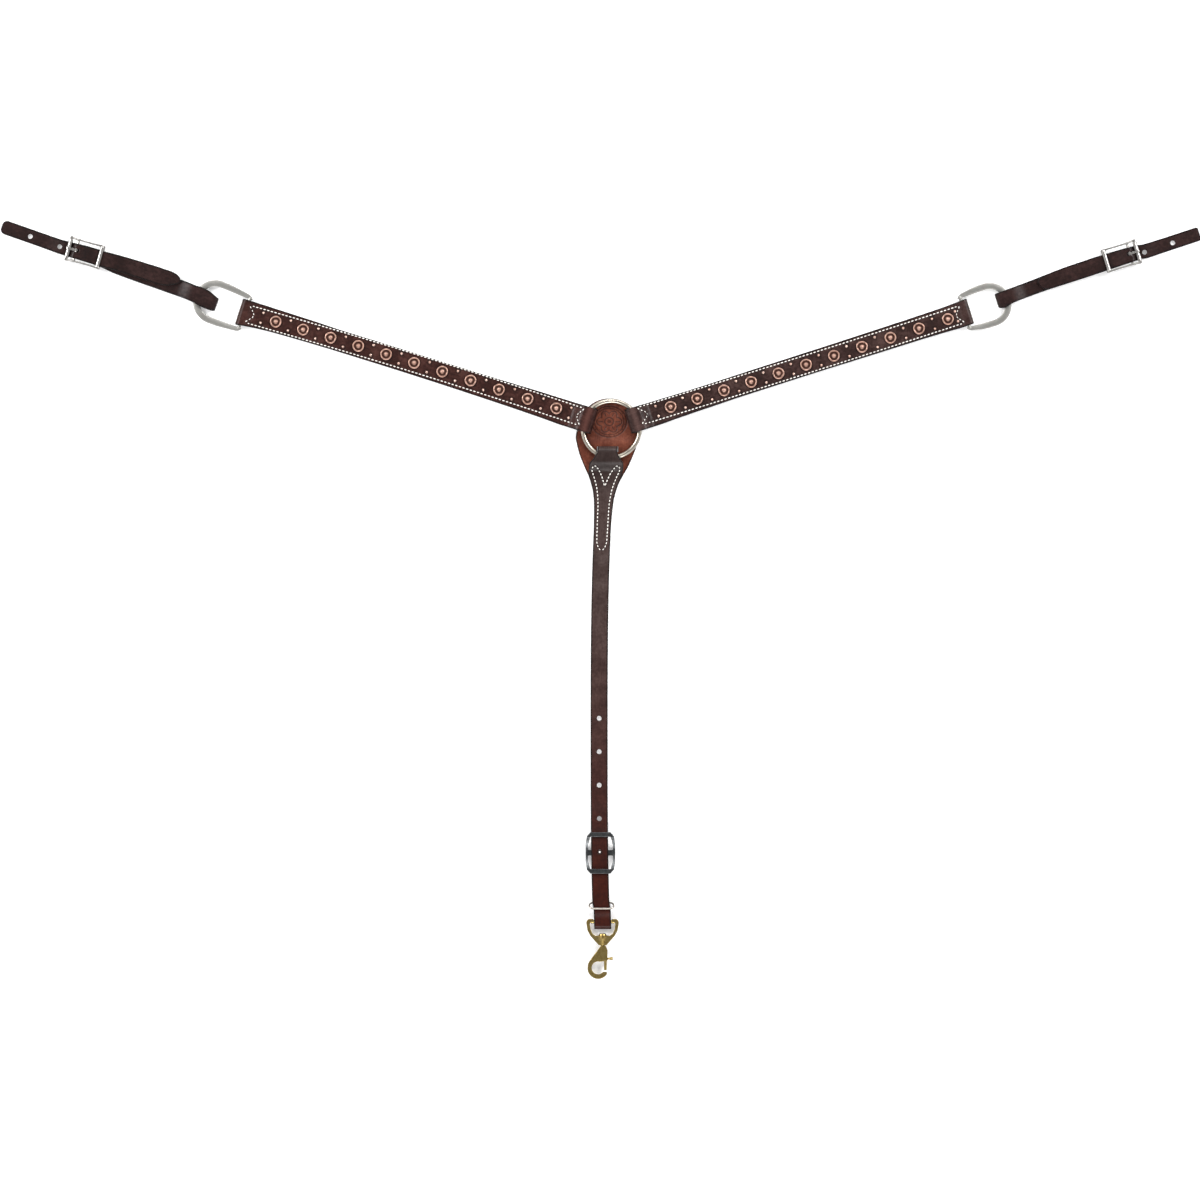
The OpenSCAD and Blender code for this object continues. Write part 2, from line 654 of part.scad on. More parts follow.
// ---- bolt snap, in its own frame: x across, y along, the eye bar's middle at y = 0 ----
shank_r = 2.4;
swivel_bore = shank_r + 0.05;
module snap_frame() {
    translate([snap_x, eye_y, eye_z])
        children();
}
module snap_eye() {
    outer = concat(
        arc([-17.6, -1.5], 5.2, 90, 190, 8),
        [[-21.2, -12], [-17.4, -19.6], [-9, -29], [-5.4, -33]],
        [[5.4, -33], [9, -29], [17.4, -19.6], [21.2, -12]],
        arc([17.6, -1.5], 5.2, -10, 90, 8));
    inner = concat(
        arc([-14.4, -3.6], 3.4, 90, 180, 6),
        [[-16.8, -11], [-14.2, -16.6], [-10, -20]],
        [[-5.8, -19.5], [5.8, -19.5], [10, -20], [14.2, -16.6], [16.8, -11]],
        arc([14.4, -3.6], 3.4, 0, 90, 6));
    color("#a8893f")
        snap_frame()
            difference() {
                union() {
                    difference() {
                        plan(outer, -2.6, 2.6);
                        plan(inner, -5, 5);
                        translate([-13.3, -4.5, -5])
                            cube([26.6, 9, 10]);
                    }
                    bar_x(eye_bar_r, 33);
                    translate([0, -19.6, 0])
                        rotate([90, 0, 0])
                            rotate_extrude()
                                polygon([[0, 0], [5.8, 0], [5.8, 4], [3.6, 13.8], [0, 13.8]]);
                }
                translate([0, -26, 0])
                    bar_y(swivel_bore, 30);
            }
}
module snap_swivel_cap() {
    color("#8a6f30")
        snap_frame()
            translate([0, -19.3, 0])
                rotate([-90, 0, 0])
                    rotate_extrude()
                        polygon([[shank_r, 0], [5.6, 0], [5.2, 1.6], [4.4, 2.6], [3.4, 2.8], [shank_r, 2]]);
}
// Hook: neck, triangular body with the bolt's bore, and the round hook
hook_c = [-6.3, -64.7];
hook_t = 7;
bolt_x = 4;
bolt_r = 2;
bolt_bore = bolt_r + 0.05;
bolt_top = -48.8;
bolt_tip = -68;
bolt_travel = 8;
module snap_hook() {
    outline = concat(
        [[-2.6, -33.8], [4.4, -33.8], [6.9, -40], [6.9, -54.6], [2, -55.4]],
        arc(hook_c, 9, 72, 322, 22),
        [[2.2, -70.4], [5.8, -70.4], [6.3, -73]],
        arc([-6.2, -65.2], 14.9, 328, 180, 16),
        [[-20.6, -59.6], [-18.4, -55.4]]);
    color("#a8893f")
        snap_frame()
            difference() {
                union() {
                    plan(outline, -hook_t / 2, hook_t / 2);
                    translate([0, -26.8, 0])
                        bar_y(shank_r, 19);
                }
                translate([bolt_x, -49.5, 0])
                    bar_y(bolt_bore, 20);
                translate([bolt_x, -53.6, -1.65])
                    cube([6, 12, 3.3]);
            }
}
module snap_bolt() {
    color("#c2a45a")
        snap_frame()
            translate([bolt_x, (bolt_top + bolt_tip) / 2, 0])
                difference() {
                    bar_y(bolt_r, bolt_top - bolt_tip);
                    translate([0, (bolt_top - bolt_tip) / 2 - 2.9, 0])
                        bar_x(0.9, 6);
                }
}
// Thumb knob: a pin through the bolt, a stem in the slot and a flared head
module snap_thumb_knob() {
    color("#a8893f")
        snap_frame()
            translate([bolt_x, bolt_top - 2.9, 0])
                rotate([0, 90, 0])
                    rotate_extrude()
                        polygon([[0, -1.6], [0.9, -1.6], [0.9, 2.06], [1.5, 2.06], [1.5, 5], [2.1, 7.6],
                            [2.7, 9.6], [2.4, 10.2], [0, 10.4]]);
}
// Spring behind the bolt, as its separate turns
spring_n = 6;
module snap_spring() {
    spring_top = -39.7;
    wire = 0.35;
    pitch = (spring_top - bolt_top - 2 * wire) / (spring_n - 1);
    color("silver")
        snap_frame()
            for (i = [0:spring_n - 1])
                translate([bolt_x, bolt_top + wire + i * pitch, 0])
                    rotate([90, 0, 0])
                        rotate_extrude($fn = 32)
                            translate([1.5, 0])
                                circle(wire, $fn = 16);
}

centre_ring();
translate(girth_at) centre_safe();
translate(girth_at) girth_strap();
translate(girth_at) girth_stitching();
left_side() breast_strap(left_bar, left_sides);  // left_breast_strap
left_side() breast_lining(left_bar, left_sides);  // left_breast_lining
left_side() stud_row(left_studs_at, left_bend);  // left_studs
left_side() spot_row(left_studs_at, left_bend, left_bar, left_spot_gaps);  // left_spots
left_side() arm_stitching(left_bar, left_bend);  // left_stitching
right_side() breast_strap(right_bar, right_sides);  // right_breast_strap
right_side() breast_lining(right_bar, right_sides);  // right_breast_lining
right_side() stud_row(right_studs_at, right_bend);  // right_studs
right_side() spot_row(right_studs_at, right_bend, right_bar, right_spot_gaps);  // right_spots
right_side() arm_stitching(right_bar, right_bend);  // right_stitching
left_dee_place() dee(left_dee_end);  // left_dee
right_dee_place() dee(right_dee_end);  // right_dee
left_tug_frame() tug_strap(left_tug, left_grip, left_lower, left_upper, 7, -0.4, left_turn);  // left_tug_strap
right_tug_frame() tug_strap(right_tug, right_grip, right_lower, right_upper, 3, 0.8, right_turn);  // right_tug_strap
left_tug_frame() buckle_place(left_tug, left_turn) buckle_frame(left_tug);  // left_buckle_frame
right_tug_frame() buckle_place(right_tug, right_turn) buckle_frame(right_tug);  // right_buckle_frame
left_tug_frame() buckle_place(left_tug, left_turn) buckle_tongue(left_tug);  // left_buckle_tongue
right_tug_frame() buckle_place(right_tug, right_turn) buckle_tongue(right_tug);  // right_buckle_tongue
left_tug_frame() buckle_place(left_tug, left_turn) buckle_roller(left_tug);  // left_buckle_roller
right_tug_frame() buckle_place(right_tug, right_turn) buckle_roller(right_tug);  // right_buckle_roller
translate(girth_at) conway_frame();
translate(girth_at) conway_stud();
translate(girth_at) wire_keeper();
translate(girth_at) snap_eye();
translate(girth_at) snap_hook();
translate(girth_at) snap_swivel_cap();
translate(girth_at) snap_bolt();
translate(girth_at) snap_thumb_knob();
translate(girth_at) snap_spring();
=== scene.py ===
import json
import math
import random

import bmesh
import bpy
import numpy as np
from mathutils import Matrix, Vector

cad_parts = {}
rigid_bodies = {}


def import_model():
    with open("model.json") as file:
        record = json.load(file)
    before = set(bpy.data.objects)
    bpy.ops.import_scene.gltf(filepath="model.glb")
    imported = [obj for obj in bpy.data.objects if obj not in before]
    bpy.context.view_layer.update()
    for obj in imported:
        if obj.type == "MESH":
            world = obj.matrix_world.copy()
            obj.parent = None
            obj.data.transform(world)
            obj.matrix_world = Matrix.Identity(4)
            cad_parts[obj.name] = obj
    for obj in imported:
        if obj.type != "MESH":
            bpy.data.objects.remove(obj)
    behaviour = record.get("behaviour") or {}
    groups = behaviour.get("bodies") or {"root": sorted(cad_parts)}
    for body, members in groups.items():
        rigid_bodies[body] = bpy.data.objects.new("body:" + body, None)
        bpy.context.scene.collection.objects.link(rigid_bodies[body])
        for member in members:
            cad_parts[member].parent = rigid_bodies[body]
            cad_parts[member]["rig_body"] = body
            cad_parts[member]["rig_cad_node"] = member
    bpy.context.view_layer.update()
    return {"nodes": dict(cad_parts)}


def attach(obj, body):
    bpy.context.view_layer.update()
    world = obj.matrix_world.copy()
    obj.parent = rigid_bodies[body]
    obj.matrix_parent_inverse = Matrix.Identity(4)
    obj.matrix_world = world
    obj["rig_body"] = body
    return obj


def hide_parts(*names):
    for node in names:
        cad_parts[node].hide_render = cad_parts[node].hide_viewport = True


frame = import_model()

MM = 0.001
rng = random.Random(7)

# ---- shape numbers, as in the CAD, in mm
HIDE = 2.8
HALF = HIDE / 2
FLOOR_Z = HALF
SECOND_Z = FLOOR_Z + HIDE + 0.1
RING_WIRE = 3.3
LAP_Z = HIDE + 0.4 + HALF
RING_FOLD_R = RING_WIRE + 0.35 + HALF
RING_Z = LAP_Z + RING_FOLD_R
RING_FOLD_S = 25 + RING_FOLD_R + HALF
DEE_FOLD_R = 2.5 + 0.3 + HALF
DEE_Z = FLOOR_Z + DEE_FOLD_R
DEE_FOLD_PAST = 2.4
DEE_HALF_W = 30.9
LAP_L = 40
GIRTH_AT = (-2.5, 1.0)
CONWAY_Y, HOLE_PITCH, HOLE_R = 592.6, 46.75, 3.3
TUG_LIFT, TUG_STEP, BAR_GAP = 2, HIDE + 0.3, 10.8
CENTRE_BAR_Z, BAR_FOLD_R, BAR_FOLD_PAST = 9.9, 1.8 + 0.25 + HALF, 0.7
SLOT_W, TIP_HALF_W = 4.8, 9.75

ARMS = {
    "left": {"dir": 162.7, "bar": 538.5, "bend": (-7.2, 3.5), "studs": (84.2, 41.1, -3.5),
             "swag": (44.7, 50.7, 533.7, 525.7), "gaps": (20, 20), "dee_side": 1.3,
             "dee_end": 74.5 - DEE_HALF_W,
             "sides": [(20, -20.6, 15.4), (70, -20.7, 15.3), (90, -20.7, 14.4), (110, -20.7, 13.6),
                       (150, -20.4, 12.5), (200, -20, 11.5), (260, -20, 10.6), (330, -20.1, 10.1),
                       (400, -20, 10.1), (440, -20.8, 10.5), (480, -21.2, 11.3), (500, -21.4, 12),
                       (515, -21.6, 13), (530, -21.6, 14.6), (552, -21.3, 16.8)]},
    "right": {"dir": 17.5, "bar": 521, "bend": (3.6, 1.4), "studs": (85.6, 40.7, 5),
              "swag": (43.4, 53.6, 516.0, 509.0), "gaps": (20, 12.7), "dee_side": 2,
              "dee_end": 67 - DEE_HALF_W,
              "sides": [(20, -14.8, 20.2), (70, -14.4, 19.9), (90, -13.6, 19.7), (120, -12.7, 19.4),
                        (150, -12.1, 19.5), (180, -11.4, 19.8), (220, -11.1, 20.2), (300, -10.7, 20.7),
                        (400, -10.9, 21.6), (440, -10.9, 22.1), (480, -11.3, 22.8), (500, -11.8, 23.4),
                        (512, -12.2, 24), (535, -11.3, 25.1)]},
}
TUGS = {
    "left": {
        "dir": 160.7, "dee_turn": -4, "grip": 29.8, "side": -1.2,
        "marks": (58, 176.2, 221.6, 234.7, 278.3, 320.8), "tip_r": 7, "tip_c": -0.4, "turn": (-2, 3.5),
        "lower": [(-1, -4.4, 12.4), (3, -5.8, 14), (8, -7.6, 14.6), (18.5, -11.2, 14.2), (30, -12, 12.6),
                  (36, -11.8, 11.6), (52, -12.6, 10.8), (120, -12.7, 10.7), (150, -13, 10.2),
                  (170, -14.2, 8.4), (186, -14.2, 8), (223, -11.3, 9.3), (236, -10.2, 9.8)],
        "upper": [(58, -11.5, -8.5), (62, -15.2, -5.2), (68, -18, -1.6), (75, -19.1, 1.8), (88, -19, 4.2),
                  (120, -18, 4.9), (150, -16.4, 5.8), (172, -14.6, 7.6), (186, -14.2, 8.2),
                  (223, -11.3, 9.3)]},
    "right": {
        "dir": 18.3, "dee_turn": 0, "grip": 15.6, "side": 1.7,
        "marks": (62.5, 163.2, 208.6, 218.6, 260.1, 299.8), "tip_r": 3, "tip_c": 0.8, "turn": (4.2, -1.3),
        "lower": [(-1, -5, 7.5), (0.5, -8, 9.5), (3, -11, 10.5), (8, -12.3, 10.6), (24, -9.4, 11.2),
                  (54, -8, 12.4), (76, -7.6, 13.6), (110, -7.9, 14.9), (150, -8.1, 14.9), (186, -7.9, 14.2),
                  (209, -7.8, 13), (222, -9.2, 11.1)],
        "upper": [(62.5, 4.4, 7.4), (65, 0, 10), (70, -5.6, 12.7), (77, -7.6, 13.5), (110, -8, 15.1),
                  (140, -8.2, 15.2), (163, -7.6, 14.9), (186, -7.9, 14.2), (209, -7.8, 13)]},
}


def ease(v, v0, v1, a, b):
    """From a to b as v goes from v0 to v1, level at both ends."""
    u = min(1.0, max(0.0, (v - v0) / (v1 - v0)))
    return a + (b - a) * u * u * (3 - 2 * u)


def steps(a, b, n):
    """n + 1 evenly spaced values from a to b."""
    return [a + (b - a) * i / n for i in range(n + 1)]


def arc(c, r, a0, a1, n):
    """Points of a round stretch, from a0 to a1 degrees."""
    turns = [math.radians(a) for a in steps(a0, a1, n)]
    return [(c[0] + r * math.cos(a), c[1] + r * math.sin(a)) for a in turns]


def run(height, *spans):
    """Path points (along, height) over spans of (start, end, number of steps)."""
    return [(s, height(s)) for span in spans for s in steps(*span)]


def turn_z(deg):
    """Local (along, across, up) in mm to the row frame in metres."""
    return Matrix.Rotation(math.radians(deg), 4, "Z") @ Matrix.Scale(MM, 4)


# ---- leather strips
END_FINE = 1.2  # mm of closely spaced points at each end of a strip
ROUND = 1.15  # radius of a burnished edge
RIM_DIP = 0.28  # how far a punched hole's rim is pressed in


def resample(path, step):
    """Points every step mm along a polyline, closer together at its two ends for the rounded edge."""
    p = np.array(path, float)
    seg = np.linalg.norm(np.diff(p, axis=0), axis=1)
    keep = np.concatenate(([True], seg > 1e-6))
    p = p[keep]
    seg = np.linalg.norm(np.diff(p, axis=0), axis=1)
    u = np.concatenate(([0], np.cumsum(seg)))
    total = u[-1]
    n = max(2, int(round((total - 2 * END_FINE) / step)))
    t = np.linspace(END_FINE, total - END_FINE, n + 1)
    ends = np.array([0, 0.06, 0.22, 0.48, 0.82])
    t = np.concatenate((ends, t, total - ends[::-1]))
    a = np.interp(t, u, p[:, 0])
    z = np.interp(t, u, p[:, 1])
    # rounded with a short running mean, so that a polyline's corners don't show
    q = np.stack((a, z), 1)
    d = np.gradient(q, t, axis=0)
    for _ in range(2):
        d[1:-1] = (d[:-2] + 2 * d[1:-1] + d[2:]) / 4
    d /= np.linalg.norm(d, axis=1)[:, None]
    return t, q, np.stack((-d[:, 1], d[:, 0]), 1), total


def edge_height(d):
    """Half thickness at a distance d from the strip's edge: burnished round, then flat."""
    d = np.clip(d, 0, ROUND)
    return (HALF - ROUND) + np.sqrt(np.maximum(0, ROUND ** 2 - (ROUND - d) ** 2))


def strip(name, path, edges, place, grain=1, disp=None, holes=(), step=0.8, col=0.7):
    """A strip of leather along path (along, up), between edges(along, u) = (low, high) across it.

    holes: ("round", along, across, radius, u_low, u_high) or ("slot", u_low, u_high, low, high)."""
    t, q, nrm, total = resample(path, step)
    n = len(t)
    lo_hi = np.array([edges(q[i, 0], t[i]) for i in range(n)])
    width = float((lo_hi[:, 1] - lo_hi[:, 0]).max())
    m = max(4, int(round((width - 2 * ROUND) / col)))
    rim = np.array([0, 0.05, 0.2, 0.45, 0.78])
    cols = []
    for i in range(n):
        lo, hi = lo_hi[i]
        w = hi - lo
        k = min(1.0, w / (4 * ROUND))
        inner = np.linspace(lo + ROUND * k, hi - ROUND * k, m + 1)
        cols.append(np.concatenate((lo + rim * k, inner, hi - rim[::-1] * k)))
    y = np.array(cols)
    k = y.shape[1]
    wide = np.ones((1, k))
    d_side = np.minimum(y - lo_hi[:, :1], lo_hi[:, 1:] - y)
    d_end = np.minimum(t, total - t)[:, None] * wide
    d_edge = np.minimum(d_side, d_end)
    h = edge_height(d_edge)
    a = q[:, :1] * wide
    z = q[:, 1:] * wide
    na = nrm[:, :1] * wide
    nz = nrm[:, 1:] * wide
    u = t[:, None] * wide
    cut = np.zeros((n - 1, k - 1), bool)
    uc = (u[1:, 1:] + u[:-1, :-1]) / 2
    ac = (a[1:, 1:] + a[:-1, :-1]) / 2
    yc = (y[1:, 1:] + y[:-1, :-1] + y[1:, :-1] + y[:-1, 1:]) / 4
    rim_dip = np.zeros_like(y)
    for hole in holes:
        if hole[0] == "round":
            _, ha, hy, hr, u0, u1 = hole
            here = (np.hypot(ac - ha, yc - hy) < hr) & (uc > u0) & (uc < u1)
        else:
            _, u0, u1, y0, y1 = hole
            here = (uc > u0) & (uc < u1) & (yc > y0) & (yc < y1)
        cut |= here
        gone = np.zeros((n, k), bool)
        kept = np.zeros((n, k), bool)
        for di in (0, 1):
            for dk in (0, 1):
                gone[di:n - 1 + di, dk:k - 1 + dk] |= here
                kept[di:n - 1 + di, dk:k - 1 + dk] |= ~here
        border = gone & kept
        if hole[0] == "round":
            r = np.hypot(a - ha, y - hy)
            near = (u > u0) & (u < u1)
            f = np.where(border, hr / np.maximum(r, 1e-6), 1)
            # cells next to the hole are eased outward, so none is left thin
            push = near & ~border & (r > hr * 0.9) & (r < hr + 1.0)
            f = np.where(push, np.maximum(r, hr + 0.45) / np.maximum(r, 1e-6), f)
            a = ha + (a - ha) * f
            y = hy + (y - hy) * f
            r = np.hypot(a - ha, y - hy)
            rim_dip += np.where(near, RIM_DIP * np.exp(-np.maximum(0, r - hr) / 0.45), 0)
        else:
            y = np.where(border & (np.abs(y - y0) < 0.6), y0, y)
            y = np.where(border & (np.abs(y - y1) < 0.6), y1, y)
            dist = np.maximum(np.maximum(y0 - y, y - y1), 0)
            rim_dip += np.where((u > u0) & (u < u1), 0.25 * np.exp(-dist / 0.4), 0)
    grain_off = np.zeros_like(y)
    tool = np.zeros_like(y)
    if disp:
        grain_off, tool = disp(a, y, u, z)
    h_grain = h + np.where(d_edge > 0.3, grain_off, 0) - rim_dip
    h_flesh = h - rim_dip
    up = h_grain if grain > 0 else h_flesh
    down = h_flesh if grain > 0 else h_grain
    top = np.stack((a + na * up, y, z + nz * up), 2)
    bot = np.stack((a - na * down, y, z - nz * down), 2)
    co = np.concatenate((top.reshape(-1, 3), bot.reshape(-1, 3)))
    idx = np.arange(n * k).reshape(n, k)
    faces = []
    low = n * k
    keep = ~cut
    for i in range(n - 1):
        row = np.nonzero(keep[i])[0]
        for j in row:
            v = (int(idx[i, j]), int(idx[i + 1, j]), int(idx[i + 1, j + 1]), int(idx[i, j + 1]))
            faces.append(v)
            faces.append((v[3] + low, v[2] + low, v[1] + low, v[0] + low))

    def wall(p, r):
        faces.append((int(p), int(r), int(r) + low, int(p) + low))

    pad = np.zeros((n + 1, k + 1), bool)
    pad[1:-1, 1:-1] = keep
    for i in range(n):
        for j in range(k - 1):
            if pad[i, j + 1] != pad[i + 1, j + 1]:
                wall(idx[i, j], idx[i, j + 1]) if pad[i, j + 1] else wall(idx[i, j + 1], idx[i, j])
    for i in range(n - 1):
        for j in range(k):
            if pad[i + 1, j] != pad[i + 1, j + 1]:
                wall(idx[i + 1, j], idx[i, j]) if pad[i + 1, j] else wall(idx[i, j], idx[i + 1, j])
    used = np.zeros(len(co), bool)
    for f in faces:
        for v in f:
            used[v] = True
    remap = np.cumsum(used) - 1
    faces = [tuple(int(remap[v]) for v in f) for f in faces]
    mesh = bpy.data.meshes.new(name)
    mesh.from_pydata([tuple(c) for c in co[used]], [], faces)
    mesh.transform(place)
    top_flesh = 0.0 if grain > 0 else 1.0
    flesh = np.repeat((top_flesh, 1 - top_flesh), n * k)
    for key, val in (
        ("edge", np.tile(d_edge.ravel(), 2)),
        ("flesh", flesh),
        ("along", np.tile(u.ravel(), 2) * MM),
        ("across", np.tile(y.ravel(), 2) * MM),
        ("tool", np.tile(tool.ravel(), 2) * (1 - flesh)),
    ):
        at = mesh.attributes.new(key, "FLOAT", "POINT")
        at.data.foreach_set("value", val[used].astype(np.float32))
    return finish_mesh(name, mesh)


def finish_mesh(name, mesh):
    """A smooth-shaded object with its faces turned outward."""
    mesh.validate()
    bm = bmesh.new()
    bm.from_mesh(mesh)
    bmesh.ops.recalc_face_normals(bm, faces=bm.faces)
    bm.to_mesh(mesh)
    bm.free()
    for p in mesh.polygons:
        p.use_smooth = True
    o = bpy.data.objects.new(name, mesh)
    bpy.context.scene.collection.objects.link(o)
    return o


def put(o, body, slot, material, *nodes):
    """Give a piece its material and body, and hide the CAD nodes it stands for. The slot is not used."""
    o.data.materials.clear()
    o.data.materials.append(material)
    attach(o, body)
    if nodes:
        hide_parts(*nodes)
    return o


# ---- thread
def stitch_ball(length, width, height, rings=7, segs=8):
    """One stitch: a short fat piece of thread that dives into the leather at both ends."""
    co, faces = [], []
    for i in range(rings):
        f = -1 + 2 * i / (rings - 1)
        r = max(0.12, math.sqrt(max(0, 1 - abs(f) ** 2.6)))
        sink = -height * 0.55 * abs(f) ** 3
        for j in range(segs):
            a = 2 * math.pi * j / segs
            twist = 1 + 0.10 * math.cos(2 * a + 5 * f)
            co.append((f * length / 2, r * twist * width / 2 * math.cos(a),
                       sink + r * twist * height / 2 * math.sin(a)))
    for i in range(rings - 1):
        for j in range(segs):
            k = (j + 1) % segs
            faces.append((i * segs + j, i * segs + k, (i + 1) * segs + k, (i + 1) * segs + j))
    faces.append(tuple(range(segs))[::-1])
    faces.append(tuple((rings - 1) * segs + j for j in range(segs)))
    return np.array(co), faces


STITCH_L, STITCH_W, STITCH_H = 3.7, 1.4, 1.15
STITCH_CO, STITCH_FACES = stitch_ball(STITCH_L, STITCH_W, STITCH_H)
THREAD_SINK = 0.28  # how deep the thread lies below the leather's face
STITCH_LEAN = 0.06  # radians that each stitch turns out of its row


def stitch_marks(line, pitch):
    """Middles and directions of the stitches along a polyline."""
    p = np.array(line, float)
    seg = np.linalg.norm(np.diff(p, axis=0), axis=1)
    u = np.concatenate(([0], np.cumsum(seg)))
    n = max(1, int(round(u[-1] / pitch)))
    out = []
    for i in range(n):
        t0, t1 = u[-1] * (i + 0.14) / n, u[-1] * (i + 0.86) / n
        a = np.array([np.interp(t0, u, p[:, 0]), np.interp(t0, u, p[:, 1])])
        b = np.array([np.interp(t1, u, p[:, 0]), np.interp(t1, u, p[:, 1])])
        out.append(((a + b) / 2, math.atan2(b[1] - a[1], b[0] - a[0]), np.linalg.norm(b - a)))
    return out


def stitches(name, lines, height, place, under=None):
    """Rows of separate stitches, on top at height(along, across) and, where under is given, below too."""
    co, faces = [], []
    count = 0
    for line, pitch in lines:
        for mid, ang, length in stitch_marks(line, pitch):
            wob = rng.uniform(-0.05, 0.05)
            for low in ([False, True] if under is not None else [False]):
                z = under(mid[0], mid[1]) + 0.12 if low else height(mid[0], mid[1]) + 0.16
                c = STITCH_CO.copy()
                c[:, 0] *= min(1.25, max(0.7, length / STITCH_L))
                if low:
                    c[:, 2] *= -0.5
                lean = ang + wob + STITCH_LEAN
                ca, sa = math.cos(lean), math.sin(lean)
                x = mid[0] + c[:, 0] * ca - c[:, 1] * sa
                y = mid[1] + c[:, 0] * sa + c[:, 1] * ca
                co.append(np.stack((x, y, z + c[:, 2]), 1))
                faces += [tuple(v + count for v in f) for f in STITCH_FACES]
                count += len(c)
    mesh = bpy.data.meshes.new(name)
    mesh.from_pydata([tuple(v) for v in np.concatenate(co)], [], faces)
    mesh.transform(place)
    return finish_mesh(name, mesh)


# ---- turned pieces
def lathe(name, profile, spots, place, segs=56, light_tone=None):
    """Copies of a turned shape, profile [(radius, up)], at each (x, y, z)."""
    co, faces, tone = [], [], []
    count = 0
    for spot in spots:
        ring_of = []
        for r, z in profile:
            if r < 1e-6:
                ring_of.append([count])
                co.append((spot[0], spot[1], spot[2] + z))
                tone.append(light_tone(r, z) if light_tone else 1)
                count += 1
                continue
            ring = []
            for j in range(segs):
                a = 2 * math.pi * j / segs
                co.append((spot[0] + r * math.cos(a), spot[1] + r * math.sin(a), spot[2] + z))
                tone.append(light_tone(r, z) if light_tone else 1)
                ring.append(count)
                count += 1
            ring_of.append(ring)
        for a, b in zip(ring_of, ring_of[1:]):
            for j in range(segs):
                k = (j + 1) % segs
                if len(a) == 1 and len(b) == 1:
                    continue
                if len(a) == 1:
                    faces.append((a[0], b[j], b[k]))
                elif len(b) == 1:
                    faces.append((a[j], a[k], b[0]))
                else:
                    faces.append((a[j], b[j], b[k], a[k]))
    mesh = bpy.data.meshes.new(name)
    mesh.from_pydata(co, [], faces)
    mesh.transform(place)
    at = mesh.attributes.new("tone", "FLOAT", "POINT")
    at.data.foreach_set("value", np.array(tone, np.float32))
    return finish_mesh(name, mesh)


# ---- cast metal from the CAD's solids
def cast(name, node, voxel, smooth, keep=0.35):
    """A copy of a CAD node with its edges rounded as a casting's are."""
    o = frame["nodes"][node].copy()
    o.data = o.data.copy()
    o.name = name
    o.parent = None
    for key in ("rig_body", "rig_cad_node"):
        if key in o:
            del o[key]
    bpy.context.scene.collection.objects.link(o)
    bm = bmesh.new()
    bm.from_mesh(o.data)
    bmesh.ops.remove_doubles(bm, verts=bm.verts, dist=1e-6)
    bm.to_mesh(o.data)
    bm.free()
    re = o.modifiers.new("re", "REMESH")
    re.mode = "VOXEL"
    re.voxel_size = voxel * MM
    sm = o.modifiers.new("sm", "SMOOTH")
    sm.factor, sm.iterations = 0.5, smooth
    de = o.modifiers.new("de", "DECIMATE")
    de.ratio = keep
    dg = bpy.context.evaluated_depsgraph_get()
    mesh = bpy.data.meshes.new_from_object(o.evaluated_get(dg))
    o.modifiers.clear()
    old = o.data
    o.data = mesh
    bpy.data.meshes.remove(old)
    for p in mesh.polygons:
        p.use_smooth = True
    return o


